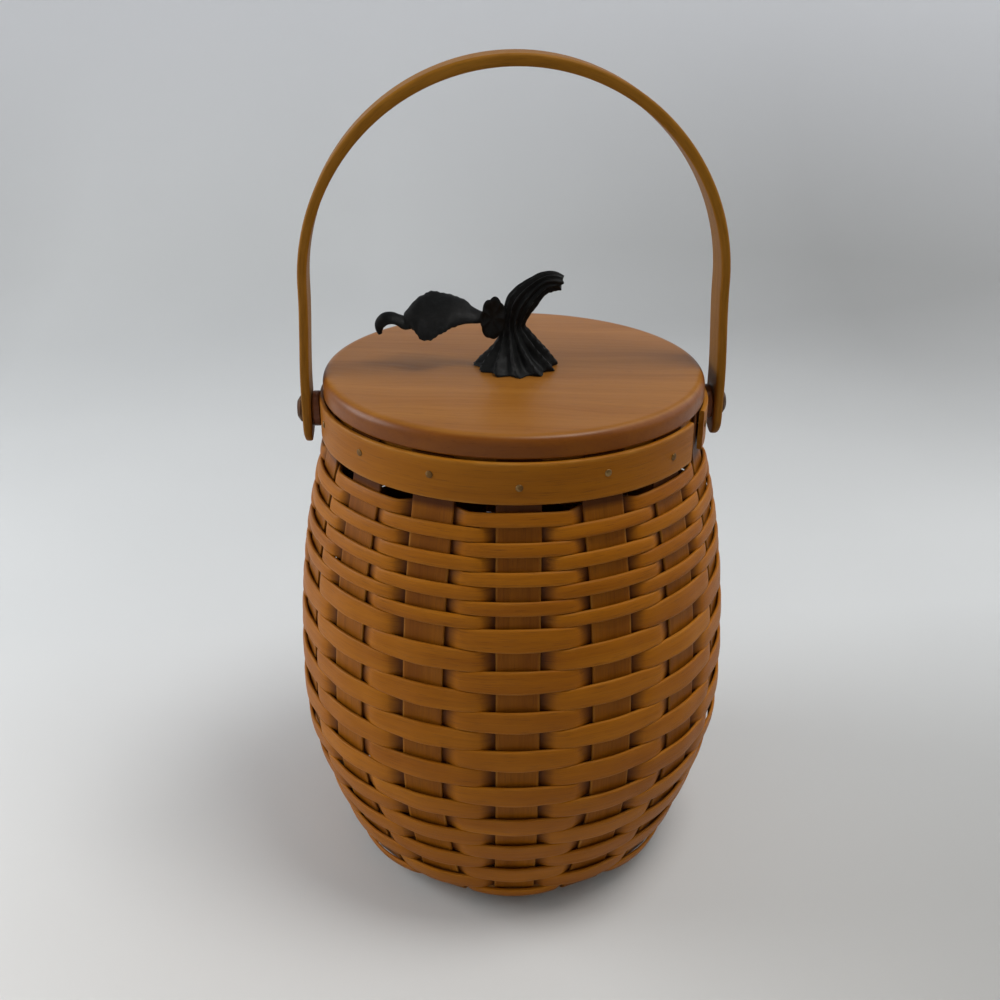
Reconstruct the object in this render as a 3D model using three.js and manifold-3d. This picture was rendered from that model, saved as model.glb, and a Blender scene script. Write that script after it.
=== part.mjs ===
// Barrel basket: flat splints woven on upright stakes, a nailed rim, a swing handle and a lift-off lid.
//
// Millimetres and degrees, +Z up. The origin is the centre of the underside, -Y is the front, and
// the handle turns about a line along X. The basket goes together in this order: the stakes stand
// in a groove round the base board, long splints wind up round them in one spiral, the rim bands
// clamp the tops of the stakes between them, and the lid and the handle come last.

import * as THREE from "three";
import { mergeVertices } from "three/addons/utils/BufferGeometryUtils.js";
import Module from "manifold-3d";

const wasm = await Module();
wasm.setup();

// Driving dimensions: clearances
const seatGap = 0.3; // between pieces that touch on the real basket
const weaveGap = 0.4; // between a weaver and the stake that it lies on
const rowGap = 0.36; // between one turn of a weaver and the next

// Driving dimensions: stakes and weavers
const stakePairs = 7;
const stakeCount = 2 * stakePairs + 1; // an odd count lets one weaver go round without a break
const stakeWidth = 19.5;
const stakeThick = 1.2;
const frontStake = -2.5; // azimuth of the stake nearest the front
const weaverThick = 1.2;
const wideWidth = 9.6;
const narrowWidth = 6.1;
const tailWidth = 2.5; // the wide weaver is trimmed to this at its start, so that its first turn lies level
const wideRows = 17;
const narrowRows = 8;
const wideSplints = 5; // splints laid end to end, as one is about two metres long
const narrowSplints = 2;
const taperStakes = 4; // the wide weaver narrows over this many stakes before its end
const rimClearance = 0.9; // from the last row to the rim
const windowHeight = 4.5; // slit over the top row at the front
const footMargin = 1; // from the bend at the foot to the first row
const overBow = 1.6; // a weaver bows out by this much in the middle of each stake that it goes over
const lastRowStakes = 3; // the narrow weaver ends this many stakes past the front, under the rim

// Driving dimensions: base board
const boardRadius = 74;
const boardThick = 9.5;
const boardEase = 1;
const grooveDepth = 9;
const tongueShow = 2; // flat stretch of a stake between the board and its bend
const footBend = 8;
const footLean = 62; // slope of the wall where it leaves the foot

// Driving dimensions: wall
const bellyRadius = 105.3;
const bellyHeight = 91;
const rimRadius = 88;
const footReach = 9; // the reaches say how far the wall keeps its direction, from the foot up
const bellyReach = 26;
const shoulderReach = 89;
const neckReach = 9;

// Driving dimensions: rim
const outerBandTall = 19;
const outerBandThick = 2.4;
const innerBandThick = 2.6;
const innerBandRise = 0.5; // the inner band stands this much above the outer one
const bandEase = 0.8;
const seamStart = 56.7; // the outer band's ends leave a slot, from this azimuth
const seamEnd = 66.7;
const nailRadius = 0.6;
const nailHeadRadius = 1.7;
const nailHeadThick = 0.7;
const nailPoint = 1.2; // the point stands out of the inner band

// Driving dimensions: handle and its pivots
const pivotDrop = 9; // from the top of the outer band
const bossRadius = 8.4;
const bossThick = 3.5;
const stripWidth = 20;
const stripThick = 4.2;
const gripThick = 5.4; // the strip is thicker at the top of the arch
const endThick = 2.4; // and thins to this at its rounded ends
const stripBevel = 1;
const legTail = 16; // the leg runs on below the pivot
const legRise = 60; // from the pivot to the spring of the arch
const legLean = 1.8; // the legs draw in by this much up to the spring
const archRise = 97.2; // from the spring to the middle of the strip at its top
const rivetRadius = 1.8;
const rivetHeadRadius = 6.5;
const rivetHeadTall = 2.8;
const washerRadius = 5;
const washerThick = 0.9;
const peenRadius = 3.4;
const peenTall = 1.3;

// Driving dimensions: lid
const lidOverhang = 2.9; // past the inner band
const lidThick = 10.2;
const lidRound = 5.2;
const lidEase = 1;
const keeperThick = 7;
const keeperClearance = 1.2; // from the ends of the rivets
const screwCircle = 50;
const screwCount = 3;
const screwRadius = 1.5;
const screwHeadRadius = 3.4;
const screwHeadTall = 2.2;
const screwBite = 7; // how far a keeper screw reaches into the lid
const boltHoleMargin = 1; // round the bolt's head, in the keeper

// Driving dimensions: knob
const footFlare = 20.4;
const footLobes = 9;
const stemTall = 40; // from the lid to the middle of the bent end
const boltRadius = 2;
const boltHeadRadius = 4.6;
const boltHeadTall = 3;
const boltBite = 9; // how far the bolt reaches into the knob
const stalkRise = 22.5; // the leaf's stalk leaves the stem this high over its foot
const stalkOut = -6.5; // and this far along X
const pegRadius = 1.9;
const pegLength = 3.2; // how far the stalk's peg reaches into the stem
const leafStart = 12; // from the axis of the foot to where the leaf begins
const leafLong = 53;
const leafWide = 27.6;
const leafThick = 2;
const leafletOut = 12.9; // from the axis of the foot to the middle of the leaflet
const leafletWide = 10.6;
const leafletTall = 19;

// Colours
const stakeWood = { color: 0x8a5a2c, roughness: 0.62 };
const weaverWood = { color: 0x9b662f, roughness: 0.58 };
const bandWood = { color: 0x94602f, roughness: 0.55 };
const handleWood = { color: 0x8f5f32, roughness: 0.5 };
const lidWood = { color: 0x9a6a42, roughness: 0.45 };
const bossWood = { color: 0x4a2a1a, roughness: 0.6 };
const boardWood = { color: 0x936535, roughness: 0.6 };
const castIron = { color: 0x17181b, roughness: 0.55, metalness: 0.6 };
const rivetBrass = { color: 0x4d3322, roughness: 0.45, metalness: 0.8 };
const nailBrass = { color: 0x8a6a3a, roughness: 0.4, metalness: 0.9 };
const screwSteel = { color: 0x8c8c88, roughness: 0.35, metalness: 1 };

// Helpers: directions and points

const rad = THREE.MathUtils.degToRad;
const lerp = THREE.MathUtils.lerp;

/** A point by azimuth (from the front towards +X), radius, distance aside along the tangent, height. */
function place(azimuth, radius, aside, height) {
  const s = Math.sin(azimuth);
  const c = Math.cos(azimuth);
  return new THREE.Vector3(radius * s + aside * c, aside * s - radius * c, height);
}

/** Points round a circle in a plane that two unit vectors span. */
function circle(centre, across, up, radius, sides) {
  const points = [];
  for (let i = 0; i < sides; i++) {
    const turn = (2 * Math.PI * (i + 0.5)) / sides;
    const point = centre.clone().addScaledVector(across, radius * Math.cos(turn));
    points.push(point.addScaledVector(up, radius * Math.sin(turn)));
  }
  return points;
}

const axisX = new THREE.Vector3(1, 0, 0);
const axisY = new THREE.Vector3(0, 1, 0);
const axisZ = new THREE.Vector3(0, 0, 1);

// Helpers: closed shapes

/** Merges shared vertices, drops flat triangles at a lathe's axis and turns every face outward. */
function closed(geometry) {
  const bare = new THREE.BufferGeometry();
  bare.setAttribute("position", geometry.getAttribute("position"));
  bare.setIndex(geometry.getIndex());
  const merged = mergeVertices(bare, 1e-4);
  const position = merged.getAttribute("position");
  const old = merged.getIndex().array;
  const index = [];
  let volume = 0;
  const [a, b, c] = [new THREE.Vector3(), new THREE.Vector3(), new THREE.Vector3()];
  for (let i = 0; i < old.length; i += 3) {
    const [p, q, r] = [old[i], old[i + 1], old[i + 2]];
    if (p === q || q === r || r === p) continue;
    index.push(p, q, r);
    a.fromBufferAttribute(position, p);
    b.fromBufferAttribute(position, q);
    c.fromBufferAttribute(position, r);
    volume += a.dot(b.cross(c));
  }
  if (volume < 0) index.reverse();
  merged.setIndex(index);
  return merged;
}

/** Skins a row of sections, each the same number of points, and caps the ends or joins them. */
function loft(sections, ring = false) {
  const count = sections[0].length;
  const positions = sections.flat().flatMap((p) => [p.x, p.y, p.z]);
  const index = [];
  const spans = ring ? sections.length : sections.length - 1;
  for (let i = 0; i < spans; i++) {
    const here = i * count;
    const next = ((i + 1) % sections.length) * count;
    for (let k = 0; k < count; k++) {
      const k2 = (k + 1) % count;
      index.push(here + k, here + k2, next + k2, here + k, next + k2, next + k);
    }
  }
  if (!ring) {
    const end = (sections.length - 1) * count;
    for (let k = 1; k < count - 1; k++) {
      index.push(0, k + 1, k, end, end + k, end + k + 1);
    }
  }
  const geometry = new THREE.BufferGeometry();
  geometry.setAttribute("position", new THREE.Float32BufferAttribute(positions, 3));
  geometry.setIndex(index);
  return closed(geometry);
}

/** A turned piece about Z from [radius, height] pairs; `ring` closes a profile that is off the axis. */
function turned(profile, segments, ring = false) {
  const points = profile.map(([radius, height]) => new THREE.Vector2(radius, height));
  if (ring) points.push(points[0].clone());
  return closed(new THREE.LatheGeometry(points, segments).rotateX(Math.PI / 2));
}

/** A round bar between two points. */
function bar(from, to, radius, sides) {
  const along = to.clone().sub(from).normalize();
  const up = Math.abs(along.z) > 0.9 ? axisY : axisZ;
  const across = new THREE.Vector3().crossVectors(up, along).normalize();
  const over = new THREE.Vector3().crossVectors(along, across);
  return loft([from, to].map((end) => circle(end, across, over, radius, sides)));
}

/** A solid for cutting and joining, from a closed shape. */
function solid(geometry) {
  const vertProperties = new Float32Array(geometry.getAttribute("position").array);
  const triVerts = new Uint32Array(geometry.getIndex().array);
  return new wasm.Manifold(new wasm.Mesh({ numProp: 3, vertProperties, triVerts }));
}

function shape(body) {
  const mesh = body.getMesh();
  const geometry = new THREE.BufferGeometry();
  geometry.setAttribute("position", new THREE.BufferAttribute(new Float32Array(mesh.vertProperties), 3));
  geometry.setIndex(Array.from(mesh.triVerts));
  return closed(geometry);
}

function cut(geometry, cutters) {
  return shape(cutters.reduce((body, cutter) => body.subtract(solid(cutter)), solid(geometry)));
}

function join(geometries) {
  return shape(geometries.map(solid).reduce((body, next) => body.add(next)));
}

const basket = new THREE.Group();

function piece(name, geometry, finish, parent = basket) {
  const shown = geometry.toNonIndexed();
  shown.computeVertexNormals();
  const mesh = new THREE.Mesh(shown, new THREE.MeshStandardMaterial(finish));
  mesh.name = name;
  parent.add(mesh);
  return mesh;
}

// The course of the weavers, counted in stakes passed. Pass 0 is the lowest row at the front stake.

const rowCount = wideRows + narrowRows;
const firstPass = -stakePairs;
const joinPass = (wideRows - 1) * stakeCount + stakePairs;
const topFrontPass = (rowCount - 1) * stakeCount;
const lastPass = topFrontPass + lastRowStakes;

function rowWidth(pass) {
  if (pass >= joinPass) return narrowWidth;
  const start = lerp(tailWidth, wideWidth, Math.min(1, (pass - firstPass) / stakeCount));
  return Math.min(start, lerp(narrowWidth, wideWidth, (joinPass - pass) / taperStakes));
}

/** Lower edge of the weaver at each pass, measured up the wall: each turn lies on the one before. */
const lowerEdges = [];
for (let pass = firstPass; pass <= lastPass + 1; pass++) {
  const below = pass - stakeCount;
  const onTop = lowerEdges[below - firstPass] + rowWidth(below) + rowGap;
  lowerEdges.push(below < firstPass ? footMargin : onTop);
}

const weaveTop = lowerEdges[topFrontPass - firstPass] + narrowWidth;
const bandBottomUpWall = weaveTop + windowHeight;

// The wall: how a stake runs from the foot to the rim, as [radius, height] points

const tongueHeight = boardThick / 2;
const bendStart = boardRadius + tongueShow;
const footPoint = new THREE.Vector2(
  bendStart + footBend * Math.sin(rad(footLean)),
  tongueHeight + footBend * (1 - Math.cos(rad(footLean))),
);
const wallSteps = 18;

function wallPoints(rimHeight) {
  const slope = new THREE.Vector2(Math.cos(rad(footLean)), Math.sin(rad(footLean)));
  const belly = new THREE.Vector2(bellyRadius, bellyHeight);
  const rim = new THREE.Vector2(rimRadius, rimHeight);
  const wall = new THREE.CurvePath();
  const overFoot = footPoint.clone().addScaledVector(slope, footReach);
  const underBelly = new THREE.Vector2(bellyRadius, bellyHeight - bellyReach);
  const overBelly = new THREE.Vector2(bellyRadius, bellyHeight + shoulderReach);
  const underRim = new THREE.Vector2(rimRadius, rimHeight - neckReach);
  wall.add(new THREE.CubicBezierCurve(footPoint, overFoot, underBelly, belly));
  wall.add(new THREE.CubicBezierCurve(belly, overBelly, underRim, rim));
  return wall.getSpacedPoints(wallSteps);
}

function distances(points) {
  const up = [0];
  for (let i = 1; i < points.length; i++) up.push(up[i - 1] + points[i].distanceTo(points[i - 1]));
  return up;
}

// The rows decide how high the rim sits, so its height is found from the length of the wall.
let bandBottom = 2 * bellyHeight;
for (let i = 0; i < 30; i++) {
  bandBottom += bandBottomUpWall - distances(wallPoints(bandBottom)).at(-1);
}

const wall = wallPoints(bandBottom);
const wallUp = distances(wall);
const outward = wall.map((_, i) => {
  const before = wall[Math.max(0, i - 1)];
  const after = wall[Math.min(wallSteps, i + 1)];
  const along = after.clone().sub(before).normalize();
  return new THREE.Vector2(along.y, -along.x);
});

/** The [radius, height] of a point that is `up` the wall and `out` from the middle of the stakes. */
function onWall(up, out) {
  let i = wallUp.findIndex((distance) => distance >= up);
  i = Math.min(Math.max(i, 1), wallSteps);
  const share = (up - wallUp[i - 1]) / (wallUp[i] - wallUp[i - 1]);
  const point = wall[i - 1].clone().lerp(wall[i], share);
  return point.addScaledVector(outward[i - 1].clone().lerp(outward[i], share).normalize(), out);
}

// Heights and radii that follow from the wall

const stakePitch = (2 * Math.PI) / stakeCount;
const stakeAzimuth = (stake) => rad(frontStake) + stake * stakePitch;
const outerBandTop = bandBottom + outerBandTall;
const innerBandTop = outerBandTop + innerBandRise;
const pivotHeight = outerBandTop - pivotDrop;
const ringSides = 48;
const facet = Math.cos(Math.PI / ringSides); // a flat's distance from the axis over its corner's
const stakeCorner = Math.hypot(rimRadius + stakeThick / 2, stakeWidth / 2);
const innerBandOut = rimRadius - stakeThick / 2 - seatGap;
const innerBandIn = innerBandOut - innerBandThick;
const outerBandIn = (stakeCorner + seatGap) / facet;
const outerBandOut = outerBandIn + outerBandThick;
const bossFace = outerBandOut + bossThick;
const legIn = bossFace + seatGap;
const legOut = legIn + stripThick;
const lidRadius = innerBandOut + lidOverhang;
const holeRadius = rivetRadius + seatGap;

// Drills for the nails, one through the rim at each stake, and for the two handle rivets

const nailHeight = (bandBottom + outerBandTop) / 2;
const nailDrill = (stake) => {
  const azimuth = stakeAzimuth(stake);
  const inside = place(azimuth, innerBandIn - nailPoint - seatGap, 0, nailHeight);
  const outside = place(azimuth, outerBandOut + nailHeadThick, 0, nailHeight);
  return bar(inside, outside, nailRadius + seatGap, 6);
};
const rivetDrill = (side) => {
  const inside = new THREE.Vector3(side * innerBandIn * 0.9, 0, pivotHeight);
  const outside = new THREE.Vector3(side * (legOut + 1), 0, pivotHeight);
  return bar(inside, outside, holeRadius, 12);
};
const stakes = Array.from({ length: stakeCount }, (_, stake) => stake);
const rivetDrills = [-1, 1].map(rivetDrill);

// A stake that a rivet already clamps has no nail of its own.
const clearOfBoss = (stake) => {
  const besidePivot = Math.abs(Math.cos(stakeAzimuth(stake))) * outerBandOut;
  return besidePivot > bossRadius + nailHeadRadius + seatGap;
};
const nailedStakes = stakes.filter(clearOfBoss);
const nailDrills = nailedStakes.map(nailDrill);

// Base board: a turned disc with a groove round its edge that holds the feet of the stakes

const grooveHalf = stakeThick / 2 + seatGap;
const board = turned(
  [
    [0, 0],
    [boardRadius - boardEase, 0],
    [boardRadius, boardEase],
    [boardRadius, tongueHeight - grooveHalf],
    [boardRadius - grooveDepth, tongueHeight - grooveHalf],
    [boardRadius - grooveDepth, tongueHeight + grooveHalf],
    [boardRadius, tongueHeight + grooveHalf],
    [boardRadius, boardThick - boardEase],
    [boardRadius - boardEase, boardThick],
    [0, boardThick],
  ],
  ringSides,
);
piece("base_board", board, boardWood);

// Stakes: flat splints that run from the groove round the foot and up the wall into the rim

function stakePath() {
  const path = [
    new THREE.Vector2(boardRadius - grooveDepth + seatGap, tongueHeight),
    new THREE.Vector2(bendStart, tongueHeight),
  ];
  const bendSteps = 4;
  for (let i = 1; i < bendSteps; i++) {
    const turn = (rad(footLean) * i) / bendSteps;
    path.push(new THREE.Vector2(
      bendStart + footBend * Math.sin(turn),
      tongueHeight + footBend * (1 - Math.cos(turn)),
    ));
  }
  return [...path, ...wall, new THREE.Vector2(rimRadius, outerBandTop)];
}

function stakeShape(stake) {
  const path = stakePath();
  const azimuth = stakeAzimuth(stake);
  const sections = path.map((point, i) => {
    const before = path[Math.max(0, i - 1)];
    const after = path[Math.min(path.length - 1, i + 1)];
    const along = after.clone().sub(before).normalize();
    const out = new THREE.Vector2(along.y, -along.x).multiplyScalar(stakeThick / 2);
    const [near, far] = [point.clone().sub(out), point.clone().add(out)];
    return [
      place(azimuth, near.x, -stakeWidth / 2, near.y),
      place(azimuth, far.x, -stakeWidth / 2, far.y),
      place(azimuth, far.x, stakeWidth / 2, far.y),
      place(azimuth, near.x, stakeWidth / 2, near.y),
    ];
  });
  const drills = clearOfBoss(stake) ? [nailDrill(stake), ...rivetDrills] : rivetDrills;
  return cut(loft(sections), drills);
}

for (const stake of stakes) {
  piece(`stake_${String(stake + 1).padStart(2, "0")}`, stakeShape(stake), stakeWood);
}

// Weavers: splints laid end to end wind over and under the stakes, and narrower ones finish the top

const edgeAside = stakeWidth / 2 + seatGap;

/** Section of a weaver beside the middle of the stake at one pass: odd passes lie inside it. */
function weaverSection(pass, aside, bow = 0) {
  const i = pass - firstPass;
  const near = onWall(lowerEdges[i], 0).x;
  const share = Math.atan(aside / near) / stakePitch;
  const toHere = lowerEdges[i] - (lowerEdges[i - 1] ?? lowerEdges[i]);
  const fromHere = lowerEdges[i + 1] - lowerEdges[i];
  const step = share < 0 ? toHere : fromHere;
  const low = lowerEdges[i] + share * step;
  const high = Math.min(low + rowWidth(pass), bandBottomUpWall - rimClearance);
  const close = stakeThick / 2 + weaveGap;
  const inner = pass % 2 === 0 ? close + bow : -close - weaverThick;
  const outer = inner + weaverThick;
  const corners = [onWall(low, inner), onWall(low, outer), onWall(high, outer), onWall(high, inner)];
  return corners.map((corner) => place(stakeAzimuth(pass), corner.x, aside, corner.y));
}

function weaver(from, to) {
  const sections = [weaverSection(from, seatGap)];
  for (let pass = from; pass <= to; pass++) {
    if (pass > from) sections.push(weaverSection(pass, -edgeAside));
    if (pass % 2 === 0) sections.push(weaverSection(pass, 0, overBow));
    if (pass < to) sections.push(weaverSection(pass, edgeAside));
  }
  sections.push(weaverSection(to, -seatGap));
  return loft(sections);
}

/** The passes where splints meet end to end: odd ones, so that a stake hides each joint. */
function splices(from, to, count) {
  return Array.from({ length: count + 1 }, (_, i) => {
    const pass = Math.round(lerp(from, to, i / count));
    return pass % 2 === 0 ? pass - 1 : pass;
  });
}

function weave(name, from, to, count) {
  const ends = splices(from, to, count);
  for (let i = 0; i < count; i++) piece(`${name}_${i + 1}`, weaver(ends[i], ends[i + 1]), weaverWood);
}

weave("wide_weaver", firstPass, joinPass, wideSplints);
weave("narrow_weaver", joinPass, lastPass, narrowSplints);

// Rim: an inner ring and an outer hoop that clamp the stakes, nailed together through each stake

function bandSection(azimuth, inner, outer, low, high, ease) {
  return [
    place(azimuth, inner, 0, low),
    place(azimuth, outer, 0, low),
    place(azimuth, outer, 0, high - ease),
    place(azimuth, outer - ease, 0, high),
    place(azimuth, inner, 0, high),
  ];
}

const innerSections = Array.from({ length: ringSides }, (_, i) =>
  bandSection((2 * Math.PI * i) / ringSides, innerBandIn, innerBandOut, bandBottom, innerBandTop, bandEase));
piece("inner_band", cut(loft(innerSections, true), [...nailDrills, ...rivetDrills]), bandWood);

const hoopTurn = 360 - (seamEnd - seamStart);
const outerSections = Array.from({ length: ringSides + 1 }, (_, i) => {
  const azimuth = rad(seamEnd + (hoopTurn * i) / ringSides);
  return bandSection(azimuth, outerBandIn, outerBandOut, bandBottom, outerBandTop, bandEase);
});
piece("outer_band", cut(loft(outerSections), [...nailDrills, ...rivetDrills]), bandWood);

function nail(stake) {
  const azimuth = stakeAzimuth(stake);
  const aside = place(azimuth, 0, 1, 0);
  const ring = (radius, distance) => circle(place(azimuth, distance, 0, nailHeight), aside, axisZ, radius, 6);
  const seat = outerBandOut + seatGap;
  return loft([
    ring(nailRadius * 0.2, innerBandIn - nailPoint),
    ring(nailRadius, innerBandIn),
    ring(nailRadius, seat),
    ring(nailHeadRadius, seat),
    ring(nailHeadRadius * 0.8, seat + nailHeadThick),
  ]);
}

for (const stake of nailedStakes) {
  piece(`nail_${String(stake + 1).padStart(2, "0")}`, nail(stake), nailBrass);
}

// Handle pivots: a wooden boss on the rim, a rivet through everything and a washer inside

const washerIn = innerBandIn * facet - seatGap - washerThick;
const peenFace = washerIn - seatGap;
const rivetInside = peenFace - peenTall;

function boss(side) {
  const foot = new THREE.Vector3(side * (innerBandIn), 0, pivotHeight);
  const face = new THREE.Vector3(side * bossFace, 0, pivotHeight);
  const rimTall = 4 * bossRadius;
  const seat = (outerBandOut + seatGap) / facet;
  const core = turned([[0, 0], [seat, 0], [seat, rimTall], [0, rimTall]], ringSides);
  const rimCore = core.translate(0, 0, pivotHeight - rimTall / 2);
  return cut(bar(foot, face, bossRadius, 24), [rimCore, rivetDrill(side)]);
}

/** A piece turned about the pivot line, from [radius, distance out along X] pairs. */
function onPivot(side, profile, segments, ring = false) {
  const turnedPiece = turned(profile, segments, ring).rotateY(Math.PI / 2 * side);
  return closed(turnedPiece.translate(0, 0, pivotHeight));
}

function rivet(side) {
  const seat = legOut + seatGap;
  return onPivot(side, [
    [0, rivetInside],
    [peenRadius * 0.7, rivetInside],
    [peenRadius, rivetInside + peenTall * 0.5],
    [peenRadius, peenFace],
    [rivetRadius, peenFace],
    [rivetRadius, seat],
    [rivetHeadRadius, seat],
    [rivetHeadRadius * 0.93, seat + rivetHeadTall * 0.4],
    [rivetHeadRadius * 0.62, seat + rivetHeadTall * 0.82],
    [0, seat + rivetHeadTall],
  ], 12);
}

function washer(side) {
  return onPivot(side, [
    [holeRadius, washerIn],
    [washerRadius, washerIn],
    [washerRadius, washerIn + washerThick],
    [holeRadius, washerIn + washerThick],
  ], 12, true);
}

for (const [side, hand] of [[-1, "left"], [1, "right"]]) {
  piece(`boss_${hand}`, boss(side), bossWood);
  piece(`rivet_${hand}`, rivet(side), rivetBrass);
  piece(`washer_${hand}`, washer(side), rivetBrass);
}

// Handle: one bent strip, with straight legs, a half-round arch and rounded ends

function stripSection(centre, out, halfWidth, thick) {
  const halfThick = thick / 2;
  const bevel = Math.min(stripBevel, halfWidth * 0.4);
  const corners = [
    [-halfThick, halfWidth - bevel], [-halfThick + bevel, halfWidth],
    [halfThick - bevel, halfWidth], [halfThick, halfWidth - bevel],
    [halfThick, bevel - halfWidth], [halfThick - bevel, -halfWidth],
    [bevel - halfThick, -halfWidth], [-halfThick, bevel - halfWidth],
  ];
  return corners.map(([across, wide]) =>
    centre.clone().addScaledVector(out, across).addScaledVector(axisY, wide));
}

function handleShape() {
  const middle = (legIn + legOut) / 2;
  const endRadius = stripWidth / 2;
  const foot = pivotHeight - legTail;
  const spring = pivotHeight + legRise;
  const ends = [0.03, 0.15, 0.4, 0.7, 1].map((share) => {
    const up = endRadius * share;
    return [foot + up, Math.sqrt(endRadius ** 2 - (endRadius - up) ** 2), 0, lerp(endThick, stripThick, share)];
  });
  const straight = [pivotHeight + endRadius, endRadius, 0, stripThick];
  const leg = [...ends, straight, [spring, endRadius, legLean, stripThick]];
  const legSections = (side) => leg.map(([height, halfWidth, lean, thick]) => {
    const centre = new THREE.Vector3(side * (middle - lean), 0, height);
    return stripSection(centre, axisX.clone().multiplyScalar(side), halfWidth, thick);
  });
  const archSteps = 24;
  const arch = [];
  for (let i = 1; i < archSteps; i++) {
    const turn = (Math.PI * i) / archSteps;
    const [across, up] = [-Math.cos(turn), Math.sin(turn)];
    const centre = new THREE.Vector3((middle - legLean) * across, 0, spring + archRise * up);
    const out = new THREE.Vector3(archRise * across, 0, (middle - legLean) * up).normalize();
    arch.push(stripSection(centre, out, endRadius, lerp(stripThick, gripThick, up)));
  }
  const sections = [...legSections(-1), ...arch, ...legSections(1).reverse()];
  return cut(loft(sections), rivetDrills);
}

piece("handle", handleShape(), handleWood);

// Lid: a board with a rounded edge, and a keeper disc under it that drops inside the rim

const lidUnder = innerBandTop + seatGap;
const lidTop = lidUnder + lidThick;
const keeperTop = lidUnder - seatGap;
const keeperUnder = keeperTop - keeperThick;
const keeperRadius = rivetInside - keeperClearance;
const screwAt = (i) => place((2 * Math.PI * (i + 0.5)) / screwCount, screwCircle, 0, 0);
const screws = Array.from({ length: screwCount }, (_, i) => i);

function raised(point, height) {
  return point.clone().setZ(height);
}

function lidBoard() {
  const profile = [
    [boltRadius + seatGap, lidUnder],
    [lidRadius - lidEase, lidUnder],
    [lidRadius, lidUnder + lidEase],
  ];
  const roundSteps = 3;
  for (let i = 0; i <= roundSteps; i++) {
    const turn = (Math.PI / 2) * (i / roundSteps);
    profile.push([lidRadius - lidRound * (1 - Math.cos(turn)), lidTop - lidRound * (1 - Math.sin(turn))]);
  }
  profile.push([boltRadius + seatGap, lidTop]);
  const pilots = screws.map((i) =>
    bar(raised(screwAt(i), keeperUnder), raised(screwAt(i), lidUnder + screwBite + seatGap),
      screwRadius + seatGap, 8));
  return cut(turned(profile, ringSides, true), pilots);
}

function keeper() {
  const hole = boltHeadRadius + boltHoleMargin;
  const disc = turned([
    [hole, keeperUnder],
    [keeperRadius - lidEase, keeperUnder],
    [keeperRadius, keeperUnder + lidEase],
    [keeperRadius, keeperTop],
    [hole, keeperTop],
  ], ringSides, true);
  const sinks = screws.flatMap((i) => [
    bar(raised(screwAt(i), keeperUnder - 1), raised(screwAt(i), keeperTop + 1), screwRadius + seatGap, 8),
    bar(raised(screwAt(i), keeperUnder - 1), raised(screwAt(i), keeperUnder + screwHeadTall + seatGap),
      screwHeadRadius + seatGap, 12),
  ]);
  return cut(disc, sinks);
}

function keeperScrew(i) {
  const profile = [
    [0, keeperUnder],
    [screwHeadRadius, keeperUnder],
    [screwHeadRadius, keeperUnder + screwHeadTall * 0.6],
    [screwRadius, keeperUnder + screwHeadTall],
    [screwRadius, lidUnder + screwBite - screwRadius],
    [0, lidUnder + screwBite],
  ];
  const at = screwAt(i);
  return closed(turned(profile, 8).translate(at.x, at.y, 0));
}

piece("lid_board", lidBoard(), lidWood);
piece("lid_keeper", keeper(), boardWood);
for (const i of screws) piece(`keeper_screw_${i + 1}`, keeperScrew(i), screwSteel);

// Knob: a fluted stem that bends over at its tip, with a leaf on a stalk, bolted through the lid

const knobFoot = lidTop + seatGap;

// Stations up the stem: distance to +X and height as shares of stemTall, radius as a share of
// footFlare, and depth of the flutes
const stem = [
  [0, 0, 1, 0.1],
  [0, 0.04, 0.96, 0.12],
  [0, 0.14, 0.69, 0.16],
  [-0.01, 0.25, 0.47, 0.17],
  [-0.04, 0.37, 0.32, 0.15],
  [-0.065, 0.48, 0.22, 0.12],
  [-0.05, 0.59, 0.26, 0.1],
  [-0.005, 0.705, 0.31, 0.1],
  [0.09, 0.845, 0.325, 0.1],
  [0.21, 0.945, 0.285, 0.1],
  [0.335, 0.998, 0.265, 0.12],
  [0.44, 1, 0.22, 0.14],
  [0.508, 0.97, 0.13, 0.1],
];

function stemSection(i) {
  const at = (j) => {
    const [aside, up] = stem[Math.min(Math.max(j, 0), stem.length - 1)];
    return new THREE.Vector3(stemTall * aside, 0, knobFoot + stemTall * up);
  };
  const [, , radius, depth] = stem[i];
  const along = at(i + 1).sub(at(i - 1)).normalize();
  if (i < 2) along.set(0, 0, 1);
  const across = new THREE.Vector3().crossVectors(axisY, along).normalize();
  const corners = 2 * footLobes;
  return Array.from({ length: corners }, (_, k) => {
    const turn = (2 * Math.PI * k) / corners;
    const reach = footFlare * radius * (k % 2 === 0 ? 1 : 1 - depth);
    const point = at(i).addScaledVector(across, reach * Math.cos(turn));
    return point.addScaledVector(axisY, reach * Math.sin(turn));
  });
}

const stalkHeight = knobFoot + stalkRise;

function stemShape() {
  const bolt = bar(new THREE.Vector3(0, 0, lidUnder), new THREE.Vector3(0, 0, knobFoot + boltBite + seatGap),
    boltRadius + seatGap, 10);
  const socket = bar(new THREE.Vector3(stalkOut - 6, 0, stalkHeight),
    new THREE.Vector3(stalkOut + pegLength + seatGap, 0, stalkHeight), pegRadius + seatGap, 8);
  return cut(loft(stem.map((_, i) => stemSection(i))), [bolt, socket]);
}

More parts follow.
